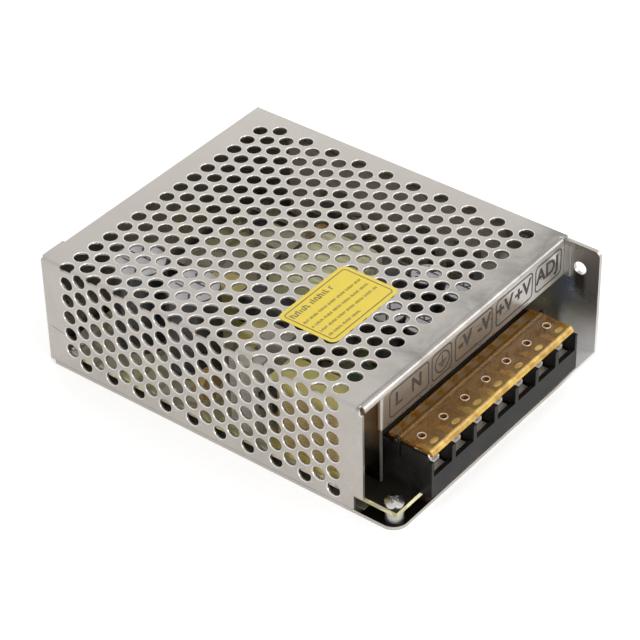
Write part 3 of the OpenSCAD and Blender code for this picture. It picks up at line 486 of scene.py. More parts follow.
@kept
def label_film():
    """Yellow printed film with a slight sheen and faint wrinkles."""
    material, tree, surface, place = shader("Label film", Coat_Weight=0.25, Coat_Roughness=0.25)
    skin = use_group(tree, "skin", Place=place, Colour=(*settings().label.film, 1), Dust=(0.62, 0.5, 0.12, 1),
                     Dust_amount=0.25, Roughness=0.42, Grain_size=900.0)
    link_looks(tree, surface, skin)
    bump(tree, surface, skin["Height"], SKIN_GRAIN, 0.5)
    return material


# ---------------------------------------------------------------- mesh helpers

def mark_sharp(bm, angle=35, share=25):
    """Smooth faces all round, but sharp at steep edges and where a large flat face meets a narrow strip."""
    for face in bm.faces:
        face.smooth = True
    areas = {face: face.calc_area() for face in bm.faces}
    for edge in bm.edges:
        if len(edge.link_faces) == 2:
            one, other = (areas[f] for f in edge.link_faces)
            edge.smooth = edge.calc_face_angle(0) < math.radians(angle) and max(one, other) < share * min(one, other)


def finish_piece(name, bm, materials, node, replaces=(), angle=35):
    """Makes an object of the bmesh that rides with the CAD node's body and hides the CAD nodes it replaces."""
    bmesh.ops.recalc_face_normals(bm, faces=bm.faces)
    mark_sharp(bm, angle)
    mesh = bpy.data.meshes.new(name)
    bm.to_mesh(mesh)
    bm.free()
    for material in materials if isinstance(materials, (list, tuple)) else [materials]:
        mesh.materials.append(material)
    piece = bpy.data.objects.new(name, mesh)
    bpy.context.scene.collection.objects.link(piece)
    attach(piece, BODY_OF[node])
    if replaces:
        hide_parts(*replaces)


def coat_node(node, *materials):
    """Gives a CAD node that stays its material."""
    mesh = CAD[node].data
    mesh.materials.clear()
    for material in materials:
        mesh.materials.append(material)


def merged_copy(node):
    """A bmesh of the CAD node with its loose triangles joined and its flat faces whole again."""
    bm = bmesh.new()
    bm.from_mesh(CAD[node].data)
    bmesh.ops.remove_doubles(bm, verts=bm.verts, dist=0.002 * MM)
    bmesh.ops.dissolve_limit(bm, angle_limit=math.radians(0.5), verts=bm.verts, edges=bm.edges)
    return bm


def rounded(bm, geom, width, segments, affect="EDGES", clamp_overlap=True):
    """Bevels edges or corners to a round profile and returns the new faces."""
    return bmesh.ops.bevel(bm, geom=geom, offset=width, offset_type="OFFSET", segments=segments, profile=0.5,
                           affect=affect, clamp_overlap=clamp_overlap, material=-1)["faces"]


def soften_edges(bm, width, segments, least):
    """Bevels the straight sharp edges that are longer than least times the width."""
    edges = [e for e in bm.edges if len(e.link_faces) == 2
             and e.calc_face_angle(0) > math.radians(40) and e.calc_length() > least * width]
    rounded(bm, edges, width, segments)


def softened(node, width, materials, segments=2, least=3.0, paint=None):
    """A copy of the CAD node with softened edges that stands for it; paint picks a material by place."""
    bm = merged_copy(node)
    soften_edges(bm, width, segments, least)
    if paint:
        for face in bm.faces:
            face.material_index = paint(face.calc_center_median() / MM, face.normal)
    finish_piece(node + "_finished", bm, materials, node, (node,))


def box_in(bm, low, high):
    """Adds a closed box between two corners and returns its vertices."""
    low, high = Vector(low), Vector(high)
    size = high - low
    place = Matrix.Translation((low + high) / 2) @ Matrix.Diagonal((*size, 1))
    return bmesh.ops.create_cube(bm, size=1, matrix=place)["verts"]


def spun(bm, profile, axis_at, steps):
    """Turns an outline of (radius, height) points round the upright axis through axis_at."""
    up = Vector((0, 0, 1))
    side = up.orthogonal().normalized()
    centre = Vector(axis_at)
    ring = [bm.verts.new(centre + side * r + up * h) for r, h in profile]
    edges = [bm.edges.new(pair) for pair in zip(ring, ring[1:])]
    bmesh.ops.spin(bm, geom=ring + edges, cent=centre, axis=up, angle=math.tau, steps=steps, use_merge=True)
    bmesh.ops.remove_doubles(bm, verts=bm.verts, dist=0.003 * MM)


def rounded_plate(bm, low, high, radius, z0, z1, segments):
    """A flat plate with rounded corners between two heights, from low (x, y) to high (x, y)."""
    made = box_in(bm, (low[0], low[1], z0), (high[0], high[1], z1))
    upright = [e for e in bm.edges if all(v in made for v in e.verts)
               and abs(e.verts[0].co.z - e.verts[1].co.z) > 0.5 * abs(z1 - z0)]
    rounded(bm, upright, radius, segments)


def frame_strip(bm, low, high, radius, line, z0, z1):
    """A closed line with rounded corners, as a thin raised strip."""
    flat = bmesh.new()
    corners = [flat.verts.new((x, y, z0)) for x, y in
               ((low[0], low[1]), (high[0], low[1]), (high[0], high[1]), (low[0], high[1]))]
    flat.faces.new(corners)
    rounded(flat, list(flat.verts), radius, 5, affect="VERTICES")
    bmesh.ops.inset_region(flat, faces=list(flat.faces)[:1], thickness=line, use_even_offset=True, use_boundary=True)
    inner = max(flat.faces, key=lambda f: len(f.verts))
    bmesh.ops.delete(flat, geom=[inner], context="FACES_ONLY")
    made = bmesh.ops.extrude_face_region(flat, geom=list(flat.faces))
    moved = [g for g in made["geom"] if isinstance(g, bmesh.types.BMVert)]
    bmesh.ops.translate(flat, verts=moved, vec=(0, 0, z1 - z0))
    join_into(bm, flat)


def middle_of(node):
    """The middle of the box round a node."""
    low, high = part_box(node)
    return (low + high) / 2


def join_into(bm, other, matrix=None):
    """Adds another bmesh to this one and frees it."""
    if matrix is not None:
        bmesh.ops.transform(other, matrix=matrix, verts=other.verts)
    mesh = bpy.data.meshes.new("joined")
    other.to_mesh(mesh)
    other.free()
    bm.from_mesh(mesh)
    bpy.data.meshes.remove(mesh)


# the font's size that gives capitals of height 1
SIZE_PER_HEIGHT = 1.38


def letters(text, height, depth, weight):
    """Plain raised letters in the XY plane, centred on the origin and made bolder by weight, as a bmesh."""
    curve = bpy.data.curves.new("letters", "FONT")
    curve.body = text
    curve.size = height * SIZE_PER_HEIGHT
    curve.align_x = "CENTER"
    curve.align_y = "CENTER"
    curve.extrude = depth / 2
    curve.offset = weight
    curve.resolution_u = 3
    holder = bpy.data.objects.new("letters", curve)
    bpy.context.scene.collection.objects.link(holder)
    bpy.context.view_layer.update()
    mesh = bpy.data.meshes.new_from_object(holder)
    bm = bmesh.new()
    bm.from_mesh(mesh)
    bpy.data.objects.remove(holder)
    bpy.data.meshes.remove(mesh)
    bmesh.ops.remove_doubles(bm, verts=bm.verts, dist=0.001 * MM)
    return bm


def helix_thread(bm, centre, radius, depth, pitch, low, high, steps):
    """A raised screw thread round a shank, from height low to height high."""
    turns = (high - low) / pitch - 1
    start = Vector(centre)
    start.z = low + pitch / 2
    root = radius - depth
    points = [(root, -0.42 * pitch), (radius, -0.06 * pitch), (radius, 0.06 * pitch), (root, 0.42 * pitch)]
    ring = [bm.verts.new(start + Vector((r, 0, h))) for r, h in points]
    edges = [bm.edges.new(pair) for pair in zip(ring, ring[1:] + ring[:1])]
    count = max(3, int(turns * steps))
    bmesh.ops.spin(bm, geom=ring + edges, cent=start, axis=(0, 0, 1), angle=math.tau * turns, steps=count,
                   dvec=(0, 0, turns * pitch / count))


# ---------------------------------------------------------------- properties

class CaseLook(bpy.types.PropertyGroup):
    apron: FloatProperty(name="Apron", description="How far the base reaches out in front of the cover",
        unit="LENGTH", min=0, default=0.0114)
    rim: FloatProperty(name="Rim", description="Width of the rounded rim of the ventilation holes",
        unit="LENGTH", min=0, max=0.0003, default=0.00026)
    metal: FloatVectorProperty(name="Metal", description="Colour of the clean sheet", subtype="COLOR", size=3,
        min=0, max=1, default=(0.50, 0.468, 0.43))
    # painted highlight: the paler colour of the holes' rims
    rim_highlight: FloatVectorProperty(name="Rims", description="Colour of the rims of the holes", subtype="COLOR",
        size=3, min=0, max=1, default=(0.80, 0.78, 0.74))
    stain: FloatVectorProperty(name="Stain", description="Colour of the duller patches of the sheet",
        subtype="COLOR", size=3, min=0, max=1, default=(0.36, 0.335, 0.305))
    stain_amount: FloatProperty(name="Stain amount", description="How strong the dull patches are", min=0,
        max=1, default=0.35)
    # painted light: the paler colour at the foot of the right wall
    foot_painted_light: FloatVectorProperty(name="Painted_foot_light",
        description="Colour of the pale tint by the foot of the right wall", subtype="COLOR", size=3, min=0,
        max=1, default=(0.62, 0.61, 0.60))
    rust: FloatVectorProperty(name="Stain below the hole",
        description="Colour of the stain below the side hole", subtype="COLOR", size=3, min=0, max=1,
        default=(0.10, 0.06, 0.03))
    # painted reflection of the case's dark inside on the flange behind the lip
    flange_painted_reflection: FloatVectorProperty(name="Flange_reflection", description="Colour of the darkened flange behind the lip",
        subtype="COLOR", size=3, min=0, max=1, default=(0.16, 0.10, 0.055))
    # painted shade and painted light for the two ends of the lip
    lip_painted_shade: FloatVectorProperty(name="Shaded lip", description="Colour of the lip's left end", subtype="COLOR",
        size=3, min=0, max=1, default=(0.345, 0.31, 0.265))
    lip_painted_light: FloatVectorProperty(name="Bright lip", description="Colour of the lip's right end",
        subtype="COLOR", size=3, min=0, max=1, default=(0.66, 0.64, 0.61))
    # the smear colour also paints the shade line along the front bend
    smear: FloatVectorProperty(name="Smear", description="Colour of the marks by the front bend",
        subtype="COLOR", size=3, min=0, max=1, default=(0.17, 0.165, 0.165))
    smear_and_fold_shade_amount: FloatProperty(name="Smear amount", description="How strong those marks are", min=0, max=1,
        default=0.75)
    roughness: FloatProperty(name="Roughness", description="Roughness of the satin sheet", min=0, max=1, default=0.3)


class CoverLook(bpy.types.PropertyGroup):
    amber: FloatVectorProperty(name="Amber", description="Colour of the clear cover", subtype="COLOR", size=3,
        min=0, max=1, default=(0.62, 0.33, 0.06))
    haze: FloatVectorProperty(name="Haze", description="Colour of its cloudier parts", subtype="COLOR", size=3,
        min=0, max=1, default=(0.48, 0.25, 0.05))
    edge: FloatVectorProperty(name="Edge", description="Colour of the slanted front edge", subtype="COLOR",
        size=3, min=0, max=1, default=(0.50, 0.26, 0.012))
    edge_light: FloatVectorProperty(name="Bright edge",
        description="Colour of the brightest spots of the edge", subtype="COLOR", size=3, min=0, max=1,
        default=(0.84, 0.56, 0.08))
    rib: FloatProperty(name="Rib", description="How far the hinge rib stands above the panel", unit="LENGTH",
        min=0, default=0.0002)
    clearness: FloatProperty(name="Clearness", description="Share of the light that passes", min=0, max=1,
        default=0.82)


class LabelLook(bpy.types.PropertyGroup):
    film: FloatVectorProperty(name="Film", description="Colour of the label", subtype="COLOR", size=3, min=0,
        max=1, default=(0.80, 0.61, 0.032))
    ink: FloatVectorProperty(name="Ink", description="Colour of its print", subtype="COLOR", size=3, min=0,
        max=1, default=(0.17, 0.125, 0.02))
    line: FloatProperty(name="Line", description="Width of the printed border", unit="LENGTH", min=0.0001,
        max=0.001, default=0.00035)


class BoardLook(bpy.types.PropertyGroup):
    laminate: FloatVectorProperty(name="Laminate", description="Colour of the circuit board", subtype="COLOR",
        size=3, min=0, max=1, default=(0.70, 0.61, 0.48))
    resist: FloatVectorProperty(name="Lacquer", description="Colour of the lacquered patches of the board",
        subtype="COLOR", size=3, min=0, max=1, default=(0.70, 0.66, 0.36))
    sleeve: FloatVectorProperty(name="Sleeve", description="Colour of the sleeves round the cans",
        subtype="COLOR", size=3, min=0, max=1, default=(0.03, 0.035, 0.04))


class StudioSettings(bpy.types.PropertyGroup):
    camera_at: FloatVectorProperty(name="Camera place", description="Place of the camera",
        subtype="TRANSLATION", size=3, default=(-0.4580, -0.3651, 0.4651))
    azimuth: FloatProperty(name="Azimuth", description="Direction the camera stands in", subtype="ANGLE",
        default=math.radians(-51.27))
    elevation: FloatProperty(name="Elevation", description="Height of the camera above the horizon",
        subtype="ANGLE", default=math.radians(37.58))
    roll: FloatProperty(name="Roll", description="Turn of the camera about its line of sight",
        subtype="ANGLE", default=math.radians(-1.38))
    lens: FloatProperty(name="Lens", description="Focal length in millimetres", min=20, max=400, default=143.6)
    key_power: FloatProperty(name="Key light", description="Power of the lamp at the front right", min=0, default=3.5)
    rim_power: FloatProperty(name="Rim light", description="Power of the low lamp behind the right side",
        min=0, default=1.6)
    low_power: FloatProperty(name="Low light", description="Power of the low lamp in front", min=0, default=8.0)
    sky: FloatProperty(name="Sky", description="Strength of the surrounding light", min=0, max=2, default=0.8)


class PowerSupplySettings(bpy.types.PropertyGroup):
    case: PointerProperty(type=CaseLook)
    cover: PointerProperty(type=CoverLook)
    label: PointerProperty(type=LabelLook)
    board: PointerProperty(type=BoardLook)
    studio: PointerProperty(type=StudioSettings)
    thread_steps: IntProperty(name="Thread steps", description="Steps in each turn of a thread", min=8,
        max=48, default=20)


# ---------------------------------------------------------------- pieces

class CaseOperator(bpy.types.Operator):
    """Finish the folded chassis, the perforated cover and the heat sink bar"""
    bl_idname = "power_supply.case"
    bl_label = "Case"

    def execute(self, context):
        coat_node("chassis", chassis_metal())
        self.make_cover(settings().case.rim)
        coat_node("heatsink_bar", bar_metal())
        coat_node("insulating_sheet", plastic("Insulating film", (0.16, 0.15, 0.12), 0.35, 0.05))
        plated = bright_metal("Plated screws")
        for node in ("cover_screws", "heatsink_screws", "board_screws"):
            softened(node, 0.10 * MM, plated, least=2.5)
        softened("standoffs", 0.15 * MM, bright_metal("Standoffs", (0.50, 0.49, 0.46), 0.35), least=2.5)
        return {"FINISHED"}

    @staticmethod
    def make_cover(rim):
        """The cover with the rims of its holes rounded on the outside."""
        low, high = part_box("top_cover")
        bm = merged_copy("top_cover")
        near, longest, steep = 0.01 * MM, 1.2 * MM, math.radians(60)

        def on_skin(vertex):
            return abs(vertex.co.z - high.z) < near or abs(vertex.co.x - low.x) < near

        rims = [e for e in bm.edges if len(e.link_faces) == 2 and all(on_skin(v) for v in e.verts)
                and e.calc_face_angle(0) > steep and e.calc_length() < longest]
        # the rounded rims take the paler metal, a painted highlight
        for face in rounded(bm, rims, rim, 3, clamp_overlap=False):
            face.material_index = 1
        finish_piece("cover_sheet", bm, [cover_metal(), rim_painted_highlight()], "top_cover", ("top_cover",))


class LegendOperator(bpy.types.Operator):
    """Print the generic terminal signs on the front lip"""
    bl_idname = "power_supply.legends"
    bl_label = "Terminal signs"

    def execute(self, context):
        cover_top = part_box("top_cover")[1].z
        depth, corner, line, weight = 0.03 * MM, 1.6 * MM, 0.48 * MM, 0.2 * MM
        top, bottom = cover_top - 1.9 * MM, cover_top - 11.1 * MM
        middle = (top + bottom) / 2
        bm = bmesh.new()
        stand = Matrix.Translation((0, front_face(), 0)) @ Matrix.Rotation(math.radians(90), 4, "X")
        fields = [(-37.1, -19.0), (-17.9, -8.4), (-7.0, 11.0), (12.6, 30.9), (32.1, 45.5)]
        for x0, x1 in fields:
            part = bmesh.new()
            frame_strip(part, (x0 * MM, bottom), (x1 * MM, top), corner, line, 0, depth)
            join_into(bm, part, stand)
        signs = [("L", -32.9), ("N", -24.7), ("-V", -2.2), ("-V", 6.9), ("+V", 16.9), ("+V", 25.9), ("ADJ", 38.4)]
        for text, x in signs:
            size = 4.6 * MM if len(text) == 1 else 4.9 * MM
            place = stand @ Matrix.Translation((x * MM, middle + 0.3 * MM, depth / 2))
            join_into(bm, letters(text, size, depth, weight), place)
        earth = bmesh.new()
        earth_x, inner, outer, stem = -12.9 * MM, 3.0 * MM, 3.5 * MM, 0.25 * MM
        spun(earth, [(inner, 0), (outer, 0), (outer, depth), (inner, depth), (inner, 0)], (earth_x, middle, 0), 40)
        box_in(earth, (earth_x - stem, middle, 0), (earth_x + stem, middle + 2.3 * MM, depth))
        for k, half in enumerate((2.0, 1.3, 0.6)):
            y = middle - k * 0.75 * MM
            box_in(earth, (earth_x - half * MM, y - 0.22 * MM, 0), (earth_x + half * MM, y + 0.22 * MM, depth))
        join_into(bm, earth, stand)
        ink = plastic("Sign ink", (0.018, 0.015, 0.013), 0.6, 0.04)
        finish_piece("terminal_signs", bm, ink, "top_cover")
        return {"FINISHED"}


class LabelOperator(bpy.types.Operator):
    """Make the yellow label with its border and plain printed lines"""
    bl_idname = "power_supply.label"
    bl_label = "Label"

    def execute(self, context):
        look = settings().label
        low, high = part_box("yellow_label")
        film_top = high.z - 0.04 * MM
        print_top = high.z - 0.015 * MM
        bm = bmesh.new()
        rounded_plate(bm, low, high, 2 * MM, low.z + 0.005 * MM, film_top, 6)
        finish_piece("label_film", bm, label_film(), "yellow_label", ("yellow_label",))
        bm = bmesh.new()
        inset = 1.2 * MM
        frame_strip(bm, (low.x + inset, low.y + inset), (high.x - inset, high.y - inset), 1.2 * MM, look.line,
                    film_top, print_top)
        self.print_lines(bm, low, high, film_top, print_top)
        ink = plastic("Label ink", tuple(look.ink), 0.5, 0.25)
        finish_piece("label_print", bm, ink, "yellow_label")
        return {"FINISHED"}

    @staticmethod
    def print_lines(bm, low, high, z0, z1):
        """Rows of strokes in groups of uneven length, like set type seen from afar."""
        rows = [(high.y - 3.6 * MM, 2.0 * MM, 17.0 * MM)]
        rows += [(high.y - (7.9 + 2.9 * k) * MM, 0.95 * MM, (25.0 if k < 3 else 14.0) * MM) for k in range(4)]
        for row, (y, tall, reach) in enumerate(rows):
            pitch, thick = 0.46 * tall, 0.22 * tall
            x, end, k = low.x + 2.2 * MM, low.x + 2.2 * MM + reach, 0
            while x < end:
                drop = 0.0 if (k * 5 + row) % 3 == 0 else 0.24 * tall
                box_in(bm, (x, y - tall / 2, z0), (x + thick, y + tall / 2 - drop, z1))
                if (k + row) % 5 < 3:
                    foot = y - tall / 2 if k % 2 else y + tall * 0.12
                    box_in(bm, (x + thick, foot, z0), (x + pitch, foot + thick, z1))
                k += 1
                x += pitch * (2.2 if (k * 3 + row) % 8 == 0 else 1.0)


class TerminalBlockOperator(bpy.types.Operator):
    """Soften the moulded terminal block"""
    bl_idname = "power_supply.terminal_block"
    bl_label = "Terminal block"

    def execute(self, context):
        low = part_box("terminal_block")[0] / MM
        black = plastic("Black moulding", (0.008, 0.0075, 0.007), 0.35, 0.03)
        black.node_tree.nodes["Principled BSDF"].inputs["Specular IOR Level"].default_value = 0.12
        # painted reflection: the front face of the sill is painted a little lighter than the rest of the moulding, for
        # the floor it mirrors; it is glossier too
        sill_with_painted_reflection = plastic("Shiny sill", (0.022, 0.021, 0.020), 0.22, 0.05)
        softened("terminal_block", 0.16 * MM, [black, sill_with_painted_reflection], least=4,
                 paint=lambda at, up: int(at.y < low.y + 0.05 and at.z < low.z + 7.1))
        return {"FINISHED"}


class TerminalHardwareOperator(bpy.types.Operator):
    """Dress the terminal plates, the clamp washers and the threaded screws"""
    bl_idname = "power_supply.terminal_hardware"
    bl_label = "Terminal screws"

    def execute(self, context):
        steps = settings().thread_steps
        softened("terminal_plates", 0.12 * MM, bright_metal("Tinned plates", (0.42, 0.40, 0.36), 0.4, 0.3))
        steel = bright_metal("Terminal steel", (0.86, 0.85, 0.82), 0.35, 0.4)
        for k in range(1, WAYS + 1):
            softened(f"clamp_{k}", 0.1 * MM, steel)
            name = f"screw_{k}"
            low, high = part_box(name)
            bm = merged_copy(name)
            soften_edges(bm, 0.12 * MM, 2, 2.5)
            centre = (low + high) / 2
            axis = Vector((centre.x, centre.y, 0))
            shank = [v for v in bm.verts if v.co.z < high.z - 2.3 * MM]
            radius = max(math.hypot(v.co.x - centre.x, v.co.y - centre.y) for v in shank)
            # the shank is thinned to the root of the thread
            bmesh.ops.scale(bm, verts=shank, vec=(0.86, 0.86, 1), space=Matrix.Translation(-axis))
            helix_thread(bm, centre, radius, 0.28 * MM, 0.6 * MM, low.z, high.z - 2.4 * MM, steps)
            finish_piece(name + "_finished", bm, steel, name, (name,))
        return {"FINISHED"}


class TerminalCoverOperator(bpy.types.Operator):
    """Make the clear amber cover of the terminals"""
    bl_idname = "power_supply.terminal_cover"
    bl_label = "Amber cover"

    def execute(self, context):
        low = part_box("terminal_cover")[0] / MM
        softened("terminal_cover", 0.14 * MM, [amber_plastic(), amber_edge()], least=3,
                 paint=lambda at, up: int(at.y < low.y + 1.3))
        self.make_probe_rims()
        self.make_glint_pads()
        return {"FINISHED"}

    @staticmethod
    def make_probe_rims():
        """The raised rims round the probe holes."""
        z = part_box("terminal_cover")[1].z - settings().cover.rib
        bm = bmesh.new()
        for k in range(1, WAYS + 1):
            ring = [(1.05, 0.0), (1.35, 0.0), (1.3, 0.16), (1.1, 0.16), (1.05, 0.0)]
            spun(bm, [(r * MM, z + h * MM) for r, h in ring], (*middle_of(f"screw_{k}").xy, 0), 24)
        finish_piece("probe_rims", bm, plastic("Pale rims", (0.62, 0.50, 0.40), 0.2, 0.05, 0.5), "terminal_cover")

    @staticmethod
    def make_glint_pads():
        """Shallow golden pads on the cover, one behind the front edge at each terminal: painted highlights that stand
        in for the golden glints there.
        """
        low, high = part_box("terminal_cover")
        z = high.z - settings().cover.rib
        bm = bmesh.new()
        for k in range(1, WAYS + 1):
            at = Vector((middle_of(f"screw_{k}").x + 0.4 * MM, low.y + 2.9 * MM, 0))
            pad = bmesh.new()
            spun(pad, [(0, z + 0.16 * MM), (0.55 * MM, z + 0.12 * MM), (0.9 * MM, z), (0, z)], at, 20)
            bmesh.ops.scale(pad, verts=pad.verts, vec=(1.8, 1, 1), space=Matrix.Translation(-at))
            join_into(bm, pad)
        finish_piece("cover_glint_pads", bm, amber_edge(), "terminal_cover", angle=60)


class BoardOperator(bpy.types.Operator):
    """Finish the circuit board"""
    bl_idname = "power_supply.board"
    bl_label = "Circuit board"

    def execute(self, context):
        coat_node("circuit_board", board_laminate())
        return {"FINISHED"}


class CapacitorOperator(bpy.types.Operator):
    """Dress the cans, the boxes and the discs"""
    bl_idname = "power_supply.capacitors"
    bl_label = "Capacitors"

    def execute(self, context):
        sleeve = plastic("Can sleeve", tuple(settings().board.sleeve), 0.3, 0.1, 0.4)
        can, grooves = can_top(), plastic("Vent grooves", (0.10, 0.095, 0.10), 0.5, 0.1)
        for node in ("bulk_capacitors", "output_capacitors"):
            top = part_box(node)[1].z / MM
            softened(node, 0.1 * MM, [sleeve, can, grooves], paint=lambda at, up, top=top: (
                2 if -0.4 < at.z - top < -0.12 else int(at.z > top - 0.4)))
        yellow = plastic("Yellow box", (0.76, 0.64, 0.22), 0.38, 0.12, 0.2)
        softened("film_capacitors", 0.5 * MM, yellow, 3)
        softened("disc_capacitors", 0.4 * MM, plastic("Ochre lacquer", (0.56, 0.34, 0.10), 0.3, 0.1, 0.5), 3)
        return {"FINISHED"}


class WoundPartsOperator(bpy.types.Operator):
    """Dress the transformers, the line filter and the ring choke"""
    bl_idname = "power_supply.wound_parts"
    bl_label = "Wound parts"

    def execute(self, context):
        ferrite = plastic("Ferrite", (0.045, 0.045, 0.05), 0.55, 0.25)
        softened("transformer_core", 0.3 * MM, ferrite)
        softened("line_filter_core", 0.3 * MM, ferrite)
        tape = wound("Yellow tape", (0.86, 0.83, 0.50), (0.55, 0.50, 0.26), (1.0, 0.0, 0.0), 2.4 * MM, 0.3, 0.35)
        softened("transformer_winding", 0.3 * MM, tape)
        softened("line_filter_winding", 0.4 * MM,
                 wound("Filter wire", (0.56, 0.51, 0.43), (0.24, 0.20, 0.14), (0.0, 0.0, 1.0), 0.7 * MM))
        softened("driver_transformer", 0.3 * MM,
                 wound("Tan tape", (0.50, 0.43, 0.30), (0.28, 0.22, 0.13), (0.0, 0.0, 1.0), 1.6 * MM, 0.35, 0.35))
        low, high = (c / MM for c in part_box("line_choke"))
        softened("line_choke", 0.3 * MM, [
            wound("Choke wire", (0.60, 0.44, 0.17), (0.26, 0.17, 0.07), (0.0, 0.0, 1.0), 0.9 * MM),
            plastic("Choke bobbin", (0.66, 0.58, 0.18), 0.4, 0.12, 0.2)],
            paint=lambda at, up: int(at.z < low.z + 2.05 or at.z > high.z - 2.05))
        softened("inductor_core", 0.1 * MM, plastic("Ring coating", (0.42, 0.39, 0.33), 0.5, 0.1))
        softened("inductor_winding", 0.05 * MM, bright_metal("Enamelled copper", (0.34, 0.25, 0.17), 0.4))
        return {"FINISHED"}


class SmallPartsOperator(bpy.types.Operator):
    """Dress the semiconductors, the fuse and the small parts"""
    bl_idname = "power_supply.small_parts"
    bl_label = "Small parts"

    def execute(self, context):
        epoxy = plastic("Black epoxy", (0.03, 0.03, 0.032), 0.45, 0.15)
        legs = bright_metal("Tinned legs", (0.62, 0.60, 0.56), 0.32)
        bar_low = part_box("heatsink_bar")[0] / MM
        board_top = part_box("circuit_board")[1].z / MM
        softened("power_transistors", 0.2 * MM, [epoxy, legs],
                 paint=lambda at, up: int(at.x > bar_low.x - 0.85 or at.z < board_top + 2.3))
        softened("transistor_clamps", 0.12 * MM, bright_metal("Spring steel", (0.45, 0.44, 0.42), 0.3))
        softened("bridge_rectifier", 0.3 * MM, [epoxy, legs], paint=lambda at, up: int(at.z < board_top + 2.9))
        middle = middle_of("control_chip").x / MM
        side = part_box("control_chip")[1].x / MM - middle - 1.1
        softened("control_chip", 0.15 * MM, [epoxy, legs], paint=lambda at, up: int(abs(at.x - middle) > side))
        fuse_low, fuse_high = (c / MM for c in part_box("fuse"))
        softened("fuse", 0.12 * MM, [plastic("Fuse tube", (0.62, 0.60, 0.55), 0.2, 0.05, 0.5), legs],
                 paint=lambda at, up: int(min(at.y - fuse_low.y, fuse_high.y - at.y) < 6.05))
        softened("fuse_clips", 0.12 * MM, legs)
        softened("inrush_thermistor", 0.5 * MM, plastic("Green disc", (0.05, 0.08, 0.05), 0.5, 0.15), 3)
        softened("resistors", 0.1 * MM, plastic("Tan lacquer", (0.52, 0.40, 0.24), 0.35, 0.1, 0.3))
        softened("trimmer_body", 0.2 * MM, plastic("Blue moulding", (0.03, 0.14, 0.42), 0.4, 0.1))
        softened("trimmer_rotor", 0.1 * MM, plastic("White moulding", (0.75, 0.74, 0.70), 0.4, 0.1))
        softened("power_lamp", 0.1 * MM, plastic("Lamp lens", (0.22, 0.55, 0.12), 0.15, 0.02, 0.6))
        return {"FINISHED"}


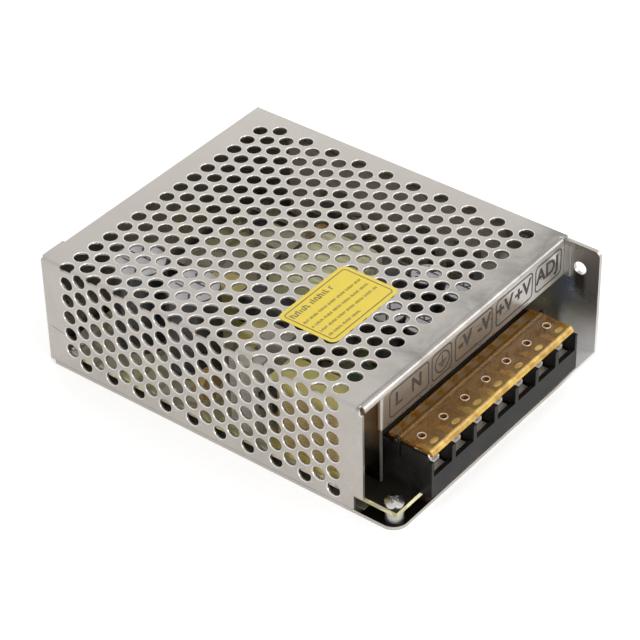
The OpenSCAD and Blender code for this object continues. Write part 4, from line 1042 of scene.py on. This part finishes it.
class StageOperator(bpy.types.Operator):
    """Set the floor, the lamps, the surrounding light and the camera"""
    bl_idname = "power_supply.stage"
    bl_label = "Stage"

    def execute(self, context):
        studio = settings().studio
        self.make_world(context.scene, studio)
        self.make_floor()
        self.make_lamps(studio)
        self.make_camera(context.scene, studio)
        return {"FINISHED"}

    @staticmethod
    def make_world(scene, studio):
        world = bpy.data.worlds.new("Studio")
        tree = empty_tree(world)
        strength = ramp_between(tree, seen_share(tree), 0.0, 1.0, studio.sky, 1.0)
        light = add_node(tree, "ShaderNodeBackground", {"Color": (1, 1, 1, 1), "Strength": strength})
        output = add_node(tree, "ShaderNodeOutputWorld")
        tree.links.new(light.outputs[0], output.inputs["Surface"])
        scene.world = world
        scene.view_settings.view_transform = "Standard"

    @staticmethod
    def make_floor():
        bm = bmesh.new()
        bmesh.ops.create_grid(bm, x_segments=1, y_segments=1, size=6.0)
        mesh = bpy.data.meshes.new("studio_floor")
        bm.to_mesh(mesh)
        bm.free()
        floor = bpy.data.objects.new("studio_floor", mesh)
        bpy.context.scene.collection.objects.link(floor)
        material = bpy.data.materials.new("Studio floor")
        tree = empty_tree(material)
        matt = add_node(tree, "ShaderNodeBsdfDiffuse", {"Color": (0.8, 0.8, 0.8, 1)})
        glow = add_node(tree, "ShaderNodeEmission", {
            "Color": (1, 1, 1, 1), "Strength": product(tree, seen_share(tree), 0.42)})
        both = add_node(tree, "ShaderNodeAddShader", {0: matt.outputs[0], 1: glow.outputs[0]})
        output = add_node(tree, "ShaderNodeOutputMaterial")
        tree.links.new(both.outputs[0], output.inputs["Surface"])
        mesh.materials.append(material)

    @staticmethod
    def make_lamps(studio):
        lamps = [("key_lamp", (0.75, -0.75, 0.62), 0.6, studio.key_power),
                 ("rim_lamp", (0.98, 0.78, 0.30), 0.6, studio.rim_power),
                 ("low_lamp", (-0.30, -1.20, 0.22), 0.35, studio.low_power)]
        for name, place, size, power in lamps:
            light = bpy.data.lights.new(name, "AREA")
            light.shape = "SQUARE"
            light.size = size
            light.energy = power
            lamp = bpy.data.objects.new(name, light)
            lamp.location = place
            lamp.rotation_mode = "QUATERNION"
            lamp.rotation_quaternion = (-Vector(place)).to_track_quat("-Z", "Y")
            bpy.context.scene.collection.objects.link(lamp)

    @staticmethod
    def make_camera(scene, studio):
        camera = bpy.data.cameras.new("camera")
        camera.lens = studio.lens
        camera.sensor_width = 36
        camera.clip_start, camera.clip_end = 0.05, 20
        holder = bpy.data.objects.new("camera", camera)
        a, e, r = studio.azimuth, studio.elevation, studio.roll
        back = Vector((math.sin(a) * math.cos(e), -math.cos(a) * math.cos(e), math.sin(e)))
        right = Vector((math.cos(a), math.sin(a), 0))
        up = back.cross(right)
        right, up = right * math.cos(r) + up * math.sin(r), up * math.cos(r) - right * math.sin(r)
        turned = Matrix((right, up, back)).transposed().to_4x4()
        holder.matrix_world = Matrix.Translation(Vector(studio.camera_at)) @ turned
        scene.collection.objects.link(holder)
        scene.camera = holder


class PowerSupplyPanel(bpy.types.Panel):
    """Lists the steps that dress the power supply"""
    bl_idname = "VIEW3D_PT_power_supply"
    bl_label = "Power Supply"
    bl_space_type = "VIEW_3D"
    bl_region_type = "UI"
    bl_category = "Power Supply"

    def draw(self, context):
        column = self.layout.column()
        for step in STEPS:
            column.operator(step.bl_idname)


STEPS = (StageOperator, CaseOperator, LegendOperator, LabelOperator, TerminalBlockOperator,
         TerminalHardwareOperator, TerminalCoverOperator, BoardOperator, CapacitorOperator,
         WoundPartsOperator, SmallPartsOperator)
CLASSES = (CaseLook, CoverLook, LabelLook, BoardLook, StudioSettings, PowerSupplySettings) + STEPS + (PowerSupplyPanel,)


def register():
    for item in CLASSES:
        bpy.utils.register_class(item)
    bpy.types.Scene.power_supply = PointerProperty(type=PowerSupplySettings)


def unregister():
    del bpy.types.Scene.power_supply
    for item in reversed(CLASSES):
        bpy.utils.unregister_class(item)


def main():
    register()
    for step in STEPS:
        group, action = step.bl_idname.split(".")
        getattr(getattr(bpy.ops, group), action)()


if __name__ == "__main__":
    main()
